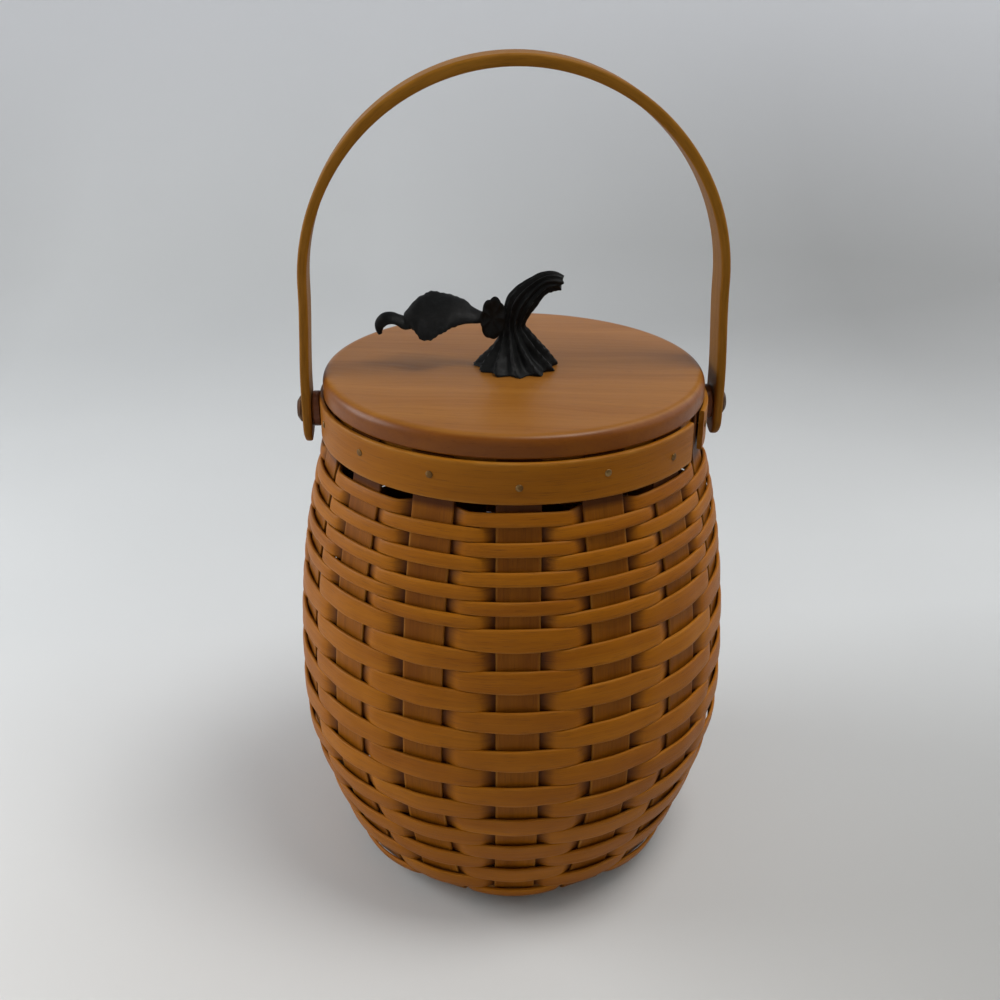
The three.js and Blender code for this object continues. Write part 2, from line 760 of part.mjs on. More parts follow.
// Stations along the leaf's rib: distance out and height as shares of leafLong, half width as a
// share of leafWide, and twist in degrees
const leaf = [
  [0, 0, 0.07, 10],
  [0.094, 0, 0.095, 24],
  [0.15, 0.01, 0.115, 30],
  [0.245, 0.038, 0.18, 34],
  [0.377, 0.07, 0.35, 34],
  [0.51, 0.034, 0.475, 34],
  [0.604, 0.019, 0.5, 34],
  [0.68, 0.025, 0.44, 34],
  [0.726, 0, 0.255, 32],
  [0.774, -0.015, 0.145, 26],
  [0.83, -0.006, 0.125, 18],
  [0.906, 0.004, 0.125, 10],
  [0.972, -0.011, 0.11, 4],
  [1.004, -0.064, 0.085, 0],
  [0.992, -0.125, 0.045, 0],
];

function leafPoint(i) {
  const [out, up] = leaf[Math.min(Math.max(i, 0), leaf.length - 1)];
  return new THREE.Vector3(-leafStart - leafLong * out, 0, stalkHeight + leafLong * up);
}

function leafSection(i) {
  const half = leafWide * leaf[i][2];
  const twist = rad(leaf[i][3]);
  const centre = leafPoint(i);
  const along = leafPoint(i + 1).sub(leafPoint(i - 1)).normalize();
  const flat = new THREE.Vector3().crossVectors(along, axisY).normalize();
  const wide = axisY.clone().applyAxisAngle(along, -twist);
  const thick = flat.applyAxisAngle(along, -twist);
  const across = [-1, -0.5, 0, 0.5, 1];
  const dish = half * 0.14;
  const row = (side) => across.map((share) => centre.clone()
    .addScaledVector(wide, half * share)
    .addScaledVector(thick, dish * share * share + (side * leafThick * (1.1 - 0.5 * share * share)) / 2));
  return [...row(1), ...row(-1).reverse()];
}

/** A small lobed leaf that stands at the joint of the stem and the stalk. */
function leaflet() {
  const lobes = 5;
  const middle = new THREE.Vector3(-leafletOut, -pegRadius / 2, stalkHeight);
  const rim = (thick) => Array.from({ length: 4 * lobes }, (_, k) => {
    const turn = (2 * Math.PI * k) / (4 * lobes);
    const reach = 1 - 0.16 * Math.cos(lobes * turn);
    const point = middle.clone().addScaledVector(axisX, (leafletWide / 2) * reach * Math.cos(turn));
    point.addScaledVector(axisZ, (leafletTall / 2) * reach * Math.sin(turn));
    return point.addScaledVector(axisY, thick);
  });
  return loft([rim(-leafThick / 2), rim(leafThick / 2)]);
}

function leafShape() {
  const blade = loft(leaf.map((_, i) => leafSection(i)));
  const stalk = bar(new THREE.Vector3(stalkOut + pegLength, 0, stalkHeight),
    new THREE.Vector3(-leafStart - pegLength, 0, stalkHeight), pegRadius, 8);
  return join([blade, stalk, leaflet()]);
}

function knobBolt() {
  return turned([
    [0, lidUnder - seatGap - boltHeadTall],
    [boltHeadRadius * 0.8, lidUnder - seatGap - boltHeadTall],
    [boltHeadRadius, lidUnder - seatGap - boltHeadTall * 0.5],
    [boltHeadRadius, lidUnder - seatGap],
    [boltRadius, lidUnder - seatGap],
    [boltRadius, knobFoot + boltBite],
    [0, knobFoot + boltBite],
  ], 12);
}

piece("knob_stem", stemShape(), castIron);
piece("knob_leaf", leafShape(), castIron);
piece("knob_bolt", knobBolt(), screwSteel);

export default basket;
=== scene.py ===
# %% [markdown]
# # A barrel basket, woven from flat splints
#
# The basket stands on a turned board. Upright stakes bend up from the board's edge and swell out
# to a belly. Thin weavers, one following the other, wind up round them in one spiral, over one
# stake and under the next. Two bent bands clamp the tops of the stakes, and a flat strip swings on
# two rivets as a handle. A turned lid with a cast knob lies on the inner band.
#
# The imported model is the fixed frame: it says where each piece is and how big it is. This file
# makes every piece again with the fine surface that the frame leaves out.

# %% The frame
import math
import random

import bmesh
import bpy
from mathutils import Matrix, Vector, noise


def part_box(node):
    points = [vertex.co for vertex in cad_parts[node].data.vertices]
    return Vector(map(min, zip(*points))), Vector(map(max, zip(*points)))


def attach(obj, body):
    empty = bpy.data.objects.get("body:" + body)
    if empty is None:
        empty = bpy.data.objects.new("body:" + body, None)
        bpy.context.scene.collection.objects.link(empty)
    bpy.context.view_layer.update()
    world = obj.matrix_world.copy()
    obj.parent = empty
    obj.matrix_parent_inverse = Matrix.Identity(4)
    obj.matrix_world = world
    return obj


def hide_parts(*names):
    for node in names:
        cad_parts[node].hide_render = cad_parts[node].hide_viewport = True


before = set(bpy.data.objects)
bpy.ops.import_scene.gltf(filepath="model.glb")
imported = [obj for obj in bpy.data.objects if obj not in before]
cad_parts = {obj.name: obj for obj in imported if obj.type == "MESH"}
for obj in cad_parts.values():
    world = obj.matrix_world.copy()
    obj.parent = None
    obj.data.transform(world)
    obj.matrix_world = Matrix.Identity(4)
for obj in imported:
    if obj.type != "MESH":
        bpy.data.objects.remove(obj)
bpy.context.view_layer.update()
MM = 0.001


def side_of(node, axis, high=True):
    """Where one side of a node's box lies in the frame, in mm."""
    return getattr(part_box(node)[1 if high else 0], axis) / MM


def rounded(values, digits=4):
    return [round(value, digits) for value in values]


def add_object(name, data):
    made = bpy.data.objects.new(name, data)
    bpy.context.scene.collection.objects.link(made)
    return made


# %% [markdown]
# ## The camera
#
# The photograph was taken from about 0.6 m, looking down at 25 degrees. The values come from a
# camera that was fitted to the rim, the lid and the handle. The basket stands turned a little, so
# the camera goes round it by the same angle the other way. It looks at a point on the basket's
# axis, a little below the rim, from slightly to one side.

# %% The camera
photo_width_px = 1000
focal_px = 1197.9
sensor_width_mm = 36
camera_distance = 598.2 * MM
camera_elevation = math.radians(25.36)
camera_turn = math.radians(-3.6)
camera_roll = math.radians(0.26)
camera_aside = -6.2 * MM
aim_under_rim = 40.9 * MM

aim_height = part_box("outer_band")[0].z - aim_under_rim
round_axis = Matrix.Rotation(camera_turn, 3, "Z")
back = round_axis @ Vector((0, -math.cos(camera_elevation), math.sin(camera_elevation)))
aside = round_axis @ Vector((camera_aside, 0, 0))

camera_data = bpy.data.cameras.new("camera")
camera_data.sensor_width = sensor_width_mm
camera_data.lens = focal_px / photo_width_px * sensor_width_mm
camera = add_object("camera", camera_data)
bpy.context.scene.camera = camera
camera.location = Vector((0, 0, aim_height)) + aside + back * camera_distance
camera.rotation_mode = "QUATERNION"
level = back.to_track_quat("Z", "Y")
camera.rotation_quaternion = level @ Matrix.Rotation(camera_roll, 3, "Z").to_quaternion()
print("camera at", rounded(camera.location, 3), "lens", round(camera_data.lens, 2), "mm")

# %% [markdown]
# ## The sizes of the weave
#
# The frame gives the outside of each piece, but not how the weave is laid. That comes from a few
# workshop sizes, in millimetres: the width and thickness of the splints, the number of stakes and
# rows, and the curve that the wall is bent to.

# %% Workshop sizes
stake_pairs = 7
stake_count = 2 * stake_pairs + 1
front_stake = math.radians(-2.5)
stake_width = 19.5
stake_thick = 1.2
weaver_thick = 1.4
wide_width = 9.6
narrow_width = 6.1
tail_width = 2.5
wide_rows = 17
narrow_rows = 8
wide_splints = 5
narrow_splints = 2
taper_stakes = 4
last_row_stakes = 3
row_gap = 0.36
foot_margin = 1
window_height = 4.5
rim_clearance = 0.9
seat_gap = 0.3

board_radius = 74
board_thick = 9.5
groove_depth = 9
tongue_show = 2
foot_bend = 8
foot_lean = math.radians(62)
belly_radius = 105.3
belly_height = 91
rim_radius = 88
foot_reach = 9
belly_reach = 26
shoulder_reach = 89
neck_reach = 9

stake_pitch = 2 * math.pi / stake_count
rim_low = side_of("outer_band", "z", high=False)
outer_band_top = side_of("outer_band", "z")
inner_band_top = side_of("inner_band", "z")
print("rim from", round(rim_low, 2), "to", round(inner_band_top, 2), "mm")


def stake_azimuth(stake):
    return front_stake + stake * stake_pitch


def place(azimuth, radius, aside, height):
    """A point by its azimuth from the front, radius, distance along the tangent and height, in mm."""
    s, c = math.sin(azimuth), math.cos(azimuth)
    return Vector((radius * s + aside * c, aside * s - radius * c, height))


# %% [markdown]
# ## The curve of the wall
#
# A stake leaves the board flat, bends up on a small arc, swells out to the belly and draws in to
# the rim. Two Bezier curves that share an upright tangent at the belly draw this with a few
# numbers. Weavers and stakes both ask the same function for a point at a distance up the wall, so
# they can't drift apart.

# %% The wall
tongue_height = board_thick / 2
bend_start = board_radius + tongue_show


def foot_arc(angle):
    """A point on the bend at the foot, as (radius, height)."""
    out, up = math.sin(angle), 1 - math.cos(angle)
    return Vector((bend_start + foot_bend * out, tongue_height + foot_bend * up))


def bezier(a, b, c, d, share):
    rest = 1 - share
    return a * rest**3 + b * (3 * rest**2 * share) + c * (3 * rest * share**2) + d * share**3


def wall_curve(steps=160):
    slope = Vector((math.cos(foot_lean), math.sin(foot_lean)))
    belly = Vector((belly_radius, belly_height))
    rim = Vector((rim_radius, rim_low))
    foot = foot_arc(foot_lean)
    lower = (foot, foot + slope * foot_reach, belly - Vector((0, belly_reach)), belly)
    upper = (belly, belly + Vector((0, shoulder_reach)), rim - Vector((0, neck_reach)), rim)
    points = [bezier(*lower, i / steps) for i in range(steps)]
    return points + [bezier(*upper, i / steps) for i in range(steps + 1)]


wall = wall_curve()
wall_up = [0.0]
for before, after in zip(wall, wall[1:]):
    wall_up.append(wall_up[-1] + (after - before).length)
wall_length = wall_up[-1]


def wall_at(up):
    """Point and outward normal, as (radius, height) vectors, at a distance up the wall."""
    low, high = 1, len(wall) - 1
    while low < high:
        middle = (low + high) // 2
        if wall_up[middle] < up:
            low = middle + 1
        else:
            high = middle
    share = (up - wall_up[low - 1]) / (wall_up[low] - wall_up[low - 1])
    along = (wall[low] - wall[low - 1]).normalized()
    return wall[low - 1].lerp(wall[low], share), Vector((along.y, -along.x))


print("wall", round(wall_length, 1), "mm from the foot to the rim")

# %% [markdown]
# ## The course of the weavers
#
# The weavers make one spiral. Each turn lies on the turn below, so the lower edge at a stake is the
# lower edge one turn earlier plus the width of the splint. The first splint starts as a thin tail,
# which lets the first turn lie level, and narrower splints take over for the last rows.

# %% The course
first_pass = -stake_pairs
join_pass = (wide_rows - 1) * stake_count + stake_pairs
top_front_pass = (wide_rows + narrow_rows - 1) * stake_count
last_pass = top_front_pass + last_row_stakes


def row_width(at_pass):
    if at_pass >= join_pass:
        return narrow_width
    started = min(1, (at_pass - first_pass) / stake_count)
    ending = (join_pass - at_pass) / taper_stakes
    start_width = tail_width + (wide_width - tail_width) * started
    return min(start_width, narrow_width + (wide_width - narrow_width) * ending)


lower_edges = []
for at_pass in range(first_pass, last_pass + 2):
    below = at_pass - stake_count
    if below < first_pass:
        lower_edges.append(foot_margin)
    else:
        lower_edges.append(lower_edges[below - first_pass] + row_width(below) + row_gap)

weave_top = lower_edges[top_front_pass - first_pass] + narrow_width
rim_up_wall = weave_top + window_height
stretch = wall_length / rim_up_wall
print(len(lower_edges), "crossings, wall over rows", round(stretch, 4))

# %% [markdown]
# ## Skinning a splint
#
# Every splint, band and handle is the same kind of thing: a flat section swept along a path. The
# section is a rectangle whose corners are small arcs, with one extra point inside each corner, so
# that the broad faces stay flat when the shading is smooth. Splints that were soaked and woven cup
# a little as they dry, so their outer face can be crowned. The mesh keeps three things for the
# finishes: a UV map in metres along and round the splint for the grain, how close a point is to an
# edge, and how much painted shade its colour takes where it is tucked under its neighbours or lies
# under the rim.

# %% Sections and skins
def splint_section(width, thick, ease, arc_steps=1, hold=0.9, crown=0.0):
    """(across, out, edge) points, in mm, round a section with eased corners and a crowned face."""
    held = width / 2 - ease - min(hold, width / 4)
    ring = []
    for i, (across, out) in enumerate([(-1, -1), (-1, 1), (1, 1), (1, -1)]):
        to_edge = i % 2 == 0
        arc = []
        for step in range(arc_steps + 1):
            share = step / arc_steps if to_edge else 1 - step / arc_steps
            angle = share * math.pi / 2
            a = across * (width / 2 - ease + ease * math.sin(angle))
            o = out * (thick / 2 - ease + ease * math.cos(angle))
            arc.append((a, o, 1.0))
        held_point = [(across * held, out * thick / 2, 0.0)]
        ring += held_point + arc if to_edge else arc + held_point
        if crown and i == 1:
            ring += [(held * share, thick / 2, 0.0) for share in (-0.5, 0, 0.5)]
    return [(a, o + crown * (1 - (2 * a / width)**2) if o > 0 else o, edge) for a, o, edge in ring]


def new_piece(name, mesh, sharp_angle=50):
    mesh.shade_smooth()
    mesh.set_sharp_from_angle(angle=math.radians(sharp_angle))
    return add_object(name, mesh)


def skin(name, rings, edge=None, painted_shade=None, closed=False, sharp_angle=50, grain_start=0.0):
    """A closed mesh over a row of rings of points in mm, capped at its ends or joined to itself."""
    count = len(rings[0])
    along = [grain_start]
    for here, ahead in zip(rings, rings[1:] + rings[:1]):
        along.append(along[-1] + (ahead[0] - here[0]).length * MM)
    middle = rings[len(rings) // 2]
    around = [0.0]
    for here, ahead in zip(middle, middle[1:] + middle[:1]):
        around.append(around[-1] + (ahead - here).length * MM)
    faces, places = [], []
    for i in range(len(rings) if closed else len(rings) - 1):
        here, ahead = i * count, (i + 1) % len(rings) * count
        for k in range(count):
            k2 = (k + 1) % count
            faces.append((here + k, here + k2, ahead + k2, ahead + k))
            places += [(along[i], around[k]), (along[i], around[k + 1]),
                       (along[i + 1], around[k + 1]), (along[i + 1], around[k])]
    if not closed:
        for i in (0, len(rings) - 1):
            faces.append([i * count + k for k in range(count)])
            places += [(along[i], around[k]) for k in range(count)]
    mesh = bpy.data.meshes.new(name)
    mesh.from_pydata([point * MM for ring in rings for point in ring], [], faces)
    uv = mesh.uv_layers.new(name="splint")
    uv.data.foreach_set("uv", [value for pair in places for value in pair])
    edge = (edge or [0.0] * count) * len(rings)
    # Share of painted shade for each ring, copied to all its points.
    painted_shade = [value for value in painted_shade or [0.0] * len(rings) for _ in range(count)]
    for label, values in (("edge", edge), ("painted_shade", painted_shade)):
        mesh.attributes.new(label, "FLOAT", "POINT").data.foreach_set("value", values)
    outward(mesh)
    return new_piece(name, mesh, sharp_angle)


def outward(mesh):
    """Turns every face of a closed mesh outward."""
    made = bmesh.new()
    made.from_mesh(mesh)
    bmesh.ops.recalc_face_normals(made, faces=made.faces)
    made.to_mesh(mesh)
    made.free()


def swept_ring(section, centre, across, out):
    return [centre + across * a + out * o for a, o, _ in section]


def edges_of(section):
    return [edge for _, _, edge in section]


# %% [markdown]
# ## Turning on the lathe
#
# The board, the lid, the rivets and the nails are turned. A profile is a list of corners, each
# with its own rounding, and the lathe turns it about an upright axis. A matrix then lays the piece
# where it belongs.

# %% The lathe
def eased(corners, steps=4):
    """(radius, height) points of a profile whose (radius, height, rounding) corners are rounded."""
    points = []
    for i, (radius, height, ease) in enumerate(corners):
        corner = Vector((radius, height))
        if ease == 0 or i in (0, len(corners) - 1):
            points.append(corner)
            continue
        to_last = Vector(corners[i - 1][:2]) - corner
        to_next = Vector(corners[i + 1][:2]) - corner
        half_angle = to_last.angle(to_next) / 2
        reach = min(ease / math.tan(half_angle), to_last.length * 0.49, to_next.length * 0.49)
        start = corner + to_last.normalized() * reach
        end = corner + to_next.normalized() * reach
        for step in range(steps + 1):
            share = step / steps
            bent = start * (1 - share)**2 + corner * (2 * share * (1 - share)) + end * share**2
            points.append(bent)
    return points


def fill_strip(made, low, high, sides):
    """Faces between two rows of vertices. A row of one vertex gives triangles."""
    for k in range(sides):
        corners = [low[k % len(low)], low[(k + 1) % len(low)],
                   high[(k + 1) % len(high)], high[k % len(high)]]
        unique = list(dict.fromkeys(corners))
        if len(unique) > 2:
            made.faces.new(unique)


def piece_from(made, name, sharp_angle=50):
    mesh = bpy.data.meshes.new(name)
    made.to_mesh(mesh)
    made.free()
    return new_piece(name, mesh, sharp_angle)


def facing(direction):
    """Turns a piece's upright axis to a direction."""
    return direction.to_track_quat("Z", "Y").to_matrix().to_4x4()


def turned(name, profile, segments=128, ring=False, laid=Matrix.Identity(4)):
    """A lathe-turned mesh in mm; `ring` closes a profile that stays off the axis."""
    made = bmesh.new()
    rows = []
    for radius, height in profile:
        count = segments if radius > 1e-6 else 1
        row = []
        for k in range(count):
            angle = 2 * math.pi * k / count
            row.append(made.verts.new((radius * math.cos(angle), radius * math.sin(angle), height)))
        rows.append(row)
    strips = list(zip(rows, rows[1:])) + ([(rows[-1], rows[0])] if ring else [])
    for low, high in strips:
        fill_strip(made, low, high, segments)
    bmesh.ops.recalc_face_normals(made, faces=made.faces)
    bmesh.ops.transform(made, matrix=Matrix.Scale(MM, 4) @ laid, verts=made.verts)
    return piece_from(made, name)


def finished(piece, body, node, material):
    """Puts the finish on a piece, hangs it on the body that carries it, and hides the node that it stands
    for.
    """
    piece.data.materials.append(material)
    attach(piece, body)
    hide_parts(node)


# %% [markdown]
# ## Building finishes from nodes
#
# A finish is a small tree of nodes. A few helpers keep the trees short to read. Each adds a node
# and gives back what comes out of it. Effects that several finishes share are node groups, built
# once, with named inputs that each material sets for itself.

# %% Node helpers
def feed(tree, socket, value):
    """Gives an input socket a value, or links it to another node's output."""
    if isinstance(value, bpy.types.NodeSocket):
        tree.links.new(value, socket)
    else:
        socket.default_value = value


def add_node(tree, kind, inputs, **settings):
    made = tree.nodes.new(kind)
    for name, value in settings.items():
        setattr(made, name, value)
    for socket, value in inputs.items():
        feed(tree, made.inputs[socket], value)
    return made.outputs


def sum_node(tree, operation, *values):
    return add_node(tree, "ShaderNodeMath", dict(enumerate(values)), operation=operation)[0]


def vector_node(tree, operation, *values):
    return add_node(tree, "ShaderNodeVectorMath", dict(enumerate(values)), operation=operation)


def scaled(tree, vector, scale):
    return vector_node(tree, "MULTIPLY", vector, scale)[0]


def noise_node(tree, vector, scale=1.0, detail=3.0):
    inputs = {"Vector": vector, "Scale": scale, "Detail": detail, "Roughness": 0.6}
    return add_node(tree, "ShaderNodeTexNoise", inputs)["Fac"]


def marks(tree, place, stretch, detail):
    """Noise that is squeezed by a different amount along each axis."""
    return noise_node(tree, scaled(tree, place, stretch), detail=detail)


def range_node(tree, value, low, high, to_low=0.0, to_high=1.0):
    inputs = {"Value": value, "From Min": low, "From Max": high, "To Min": to_low, "To Max": to_high}
    return add_node(tree, "ShaderNodeMapRange", inputs)[0]


def mix_colour(tree, share, first, second, blend="MIX"):
    mixer = tree.nodes.new("ShaderNodeMix")
    mixer.data_type = "RGBA"
    mixer.blend_type = blend
    values = {"Factor_Float": share, "A_Color": first, "B_Color": second}
    for socket in mixer.inputs:
        if socket.identifier in values:
            feed(tree, socket, values[socket.identifier])
    return next(socket for socket in mixer.outputs if socket.identifier == "Result_Color")


def object_place(tree):
    return add_node(tree, "ShaderNodeTexCoord", {})["Object"]


def new_group(name, inputs, outputs):
    """A shader node group with named sockets; returns its tree, input node and output node."""
    tree = bpy.data.node_groups.new(name, "ShaderNodeTree")
    kinds = {"float": "NodeSocketFloat", "colour": "NodeSocketColor", "vector": "NodeSocketVector"}
    for label, kind in inputs.items():
        tree.interface.new_socket(name=label, in_out="INPUT", socket_type=kinds[kind])
    for label, kind in outputs.items():
        tree.interface.new_socket(name=label, in_out="OUTPUT", socket_type=kinds[kind])
    given = tree.nodes.new("NodeGroupInput").outputs
    result = tree.nodes.new("NodeGroupOutput").inputs
    return tree, given, result


def send_out(tree, result, **values):
    """Links a group's values to its named outputs."""
    for label, value in values.items():
        tree.links.new(value, result[label])


def use_group(tree, group, inputs):
    return add_node(tree, "ShaderNodeGroup", inputs, node_tree=group)


# %% [markdown]
# ## Splint grain
#
# Ash splint is cut along the grain, so its marks are long and thin: fine fibres, broader stripes
# of early and late wood, and short open pores that drink the stain and go dark. All three are the
# same noise, stretched by different amounts along the splint. The place comes in metres, so the
# grain has its real size on every piece.

# %% Node group: splint grain
pore_stain = (0.05, 0.018, 0.005, 1)

tree, given, result = new_group(
    "splint_grain",
    {"Place": "vector", "Pale": "colour", "Dark": "colour", "Pores": "float"},
    {"Color": "colour", "Height": "float", "Roughness": "float"},
)
splint_grain = tree
fibres = marks(tree, given["Place"], (28, 1500, 1), 4)
stripes = marks(tree, given["Place"], (5, 330, 1), 2)
pores = range_node(tree, marks(tree, given["Place"], (95, 3400, 1), 1), 0.6, 0.68)
tone = sum_node(tree, "MULTIPLY_ADD", fibres, 0.55, sum_node(tree, "MULTIPLY", stripes, 0.6))
wood = mix_colour(tree, range_node(tree, tone, 0.38, 0.76), given["Dark"], given["Pale"])
pore_share = sum_node(tree, "MULTIPLY", pores, given["Pores"])
send_out(
    tree, result,
    Color=mix_colour(tree, pore_share, wood, pore_stain),
    Height=sum_node(tree, "SUBTRACT", fibres, sum_node(tree, "MULTIPLY", pores, 0.6)),
    Roughness=range_node(tree, fibres, 0.2, 0.8, 0.52, 0.4),
)

# %% [markdown]
# ## Drift of tone
#
# No splint is one colour from end to end. A slow noise along the length moves the colour between a
# redder, darker tone and a yellower, paler one.

# %% Node group: drift
tree, given, result = new_group(
    "tone_drift",
    {"Color": "colour", "Place": "vector", "Length": "vector", "Amount": "float"},
    {"Color": "colour"},
)
tone_drift = tree
slow = marks(tree, given["Place"], given["Length"], 2)
swing = sum_node(tree, "MULTIPLY", range_node(tree, slow, 0.3, 0.7, -1, 1), given["Amount"])
drifted = add_node(tree, "ShaderNodeHueSaturation", {
    "Hue": sum_node(tree, "MULTIPLY_ADD", swing, 0.02, 0.5),
    "Value": sum_node(tree, "ADD", swing, 1.0),
    "Color": given["Color"],
})[0]
send_out(tree, result, Color=drifted)

# %% [markdown]
# ## Worn edges, and painted shade on tucked ends
#
# Handling polishes the corners of a splint and rubs some stain off them, so they are paler. Where
# a splint dives under a stake, and where a stake lies under the rim, its colour is painted darker
# as shade. Both masks are stored in the mesh, and noise breaks up the worn one.

# %% Node group: wear and painted shade
rubbed_wood = (0.42, 0.19, 0.03, 1)
# Painted shade: the colour a splint is darkened towards where it is tucked under a stake, and where a
# stake lies under the rim.
painted_recess_shade = (0.05, 0.012, 0.002, 1)

tree, given, result = new_group(
    "wear_and_painted_shade",
    {"Color": "colour", "Place": "vector", "Edge": "float", "Painted Shade": "float", "Worn": "float"},
    {"Color": "colour"},
)
wear_and_painted_shade = tree
rubbed = range_node(tree, marks(tree, given["Place"], (60, 300, 1), 2), 0.35, 0.7)
worn_share = sum_node(tree, "MULTIPLY", given["Edge"], rubbed)
worn_share = sum_node(tree, "MULTIPLY", worn_share, given["Worn"])
worn = mix_colour(tree, worn_share, given["Color"], rubbed_wood)
# Share of painted shade, read from the mesh's mask.
painted_shade_share = range_node(tree, given["Painted Shade"], 0.2, 0.85, 0.0, 0.9)
send_out(tree, result, Color=mix_colour(tree, painted_shade_share, worn, painted_recess_shade))

# %% [markdown]
# ## Splint finish
#
# The three groups make one finish for everything that is cut from splint. Only the colours and the
# amounts differ between the stakes, the weavers, the bands and the handle.

# %% Splint finishes
def new_material(name, **shader):
    material = bpy.data.materials.new(name)
    material.use_nodes = True
    principled = material.node_tree.nodes["Principled BSDF"]
    for socket, value in shader.items():
        principled.inputs[socket.replace("_", " ")].default_value = value
    return material, material.node_tree, principled


def put_on(tree, principled, colour, surface, bump, bump_depth):
    """Joins a colour, and the roughness and bumps of a surface, to a material's shader."""
    bumped = add_node(tree, "ShaderNodeBump", {
        "Height": surface["Height"], "Strength": bump, "Distance": bump_depth,
    })[0]
    tree.links.new(colour, principled.inputs["Base Color"])
    tree.links.new(surface["Roughness"], principled.inputs["Roughness"])
    tree.links.new(bumped, principled.inputs["Normal"])


def attribute(tree, name):
    return add_node(tree, "ShaderNodeAttribute", {}, attribute_name=name)["Fac"]


def splint_finish(name, pale, dark, seed, pores=0.4, worn=0.5, drift=0.14, shine=0.12):
    material, tree, principled = new_material(name, Specular_IOR_Level=shine)
    uv = add_node(tree, "ShaderNodeUVMap", {}, uv_map="splint")[0]
    spot = vector_node(tree, "ADD", uv, (0, 0, seed))[0]
    grain = use_group(tree, splint_grain, {"Place": spot, "Pale": pale, "Dark": dark, "Pores": pores})
    drifted = use_group(tree, tone_drift, {
        "Color": grain["Color"], "Place": spot, "Length": (11, 60, 1), "Amount": drift,
    })
    # The group adds the edge wear and the painted shade from the mesh's masks.
    wear = use_group(tree, wear_and_painted_shade, {
        "Color": drifted["Color"], "Place": spot, "Edge": attribute(tree, "edge"),
        "Painted Shade": attribute(tree, "painted_shade"), "Worn": worn,
    })
    put_on(tree, principled, wear["Color"], grain, bump=0.25, bump_depth=0.0003)
    return material


weaver_finish = splint_finish("stained_weaver", (0.35, 0.114, 0.003, 1), (0.275, 0.084, 0.0015, 1),
                              worn=0.25, seed=3.1)
# The stakes take the weavers' stain, but their colours are set darker as painted shade, for the shade that
# the rows of weavers cast on them.
stake_finish = splint_finish("stained_stake_painted_shade", (0.25, 0.078, 0.003, 1), (0.19, 0.056, 0.0015, 1),
                             pores=0.25, seed=7.7)
band_finish = splint_finish("stained_band", (0.32, 0.108, 0.003, 1), (0.255, 0.081, 0.0015, 1),
                            pores=0.3, drift=0.1, seed=12.4)
handle_finish = splint_finish("stained_handle", (0.255, 0.107, 0.01, 1), (0.2, 0.08, 0.005, 1),
                              pores=0.35, worn=0.2, drift=0.08, seed=21.9, shine=0.08)

# %% [markdown]
# ## Board grain
#
# The lid and the base are turned from flat-sawn boards. The board is a slice through growth rings
# that run nearly along it, so the marks are wide, wavering bands with fine lines between them.
# The bands are noise in object space, stretched along the grain, which also gives the right marks
# where the lathe cut the rim. The rim of the lid is painted darker than its face, as painted shade.

# %% Node group: board grain
fleck_stain = (0.12, 0.045, 0.012, 1)

tree, given, result = new_group(
    "board_grain",
    {"Place": "vector", "Pale": "colour", "Dark": "colour"},
    {"Color": "colour", "Height": "float", "Roughness": "float"},
)
board_grain = tree
bend = sum_node(tree, "MULTIPLY", marks(tree, given["Place"], (7, 16, 16), 2), 0.03)
bend = add_node(tree, "ShaderNodeCombineXYZ", {"Y": bend})[0]
bent = vector_node(tree, "ADD", given["Place"], bend)[0]
bands = marks(tree, bent, (4, 105, 60), 2)
lines = marks(tree, bent, (14, 620, 620), 3)
flecks = range_node(tree, marks(tree, bent, (120, 2200, 2200), 1), 0.62, 0.72, 0.0, 0.35)
tone = sum_node(tree, "MULTIPLY_ADD", bands, 0.7, sum_node(tree, "MULTIPLY", lines, 0.4))
wood = mix_colour(tree, range_node(tree, tone, 0.4, 0.75), given["Dark"], given["Pale"])
send_out(
    tree, result,
    Color=mix_colour(tree, flecks, wood, fleck_stain),
    Height=lines,
    Roughness=range_node(tree, lines, 0.2, 0.8, 0.42, 0.34),
)


# %% Board finishes
# Painted shade on the lid's rim: near the edge the colour is multiplied by this tone.
rim_painted_shade = (0.68, 0.5, 0.1, 1)
rim_painted_shade_wide = 2.2 * MM
rim_painted_shade_fade = 1.2 * MM


def board_finish(name, pale, dark, coat=0.08, turned_by=0.0, offset=(0, 0, 0), dark_from=None):
    material, tree, principled = new_material(
        name, Specular_IOR_Level=0.18, Coat_Weight=coat, Coat_Roughness=0.25
    )
    spot = object_place(tree)
    laid = add_node(tree, "ShaderNodeMapping", {
        "Vector": spot, "Location": offset, "Rotation": (0, 0, turned_by),
    })[0]
    grain = use_group(tree, board_grain, {"Place": laid, "Pale": pale, "Dark": dark})
    colour = use_group(tree, tone_drift, {
        "Color": grain["Color"], "Place": laid, "Length": (9, 22, 22), "Amount": 0.06,
    })["Color"]
    if dark_from:
        from_axis = vector_node(tree, "LENGTH", scaled(tree, spot, (1, 1, 0)))["Value"]
        on_rim = range_node(tree, from_axis, dark_from, dark_from + rim_painted_shade_fade)
        # The lid's rim is darkened here as painted shade.
        colour = mix_colour(tree, on_rim, colour, rim_painted_shade, blend="MULTIPLY")
    put_on(tree, principled, colour, grain, bump=0.12, bump_depth=0.0002)
    return material


lid_finish = board_finish("lacquered_lid", (0.295, 0.117, 0.018, 1), (0.235, 0.085, 0.01, 1),
                          turned_by=math.radians(8), dark_from=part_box("lid_board")[1].x - rim_painted_shade_wide)
base_finish = board_finish("stained_board", (0.34, 0.15, 0.045, 1), (0.25, 0.1, 0.022, 1), coat=0.05,
                           offset=(0.4, 0.2, 0.1))
boss_finish = board_finish("dark_boss", (0.17, 0.05, 0.013, 1), (0.1, 0.027, 0.006, 1), coat=0.1,
                           offset=(0.1, 0.5, 0.3))

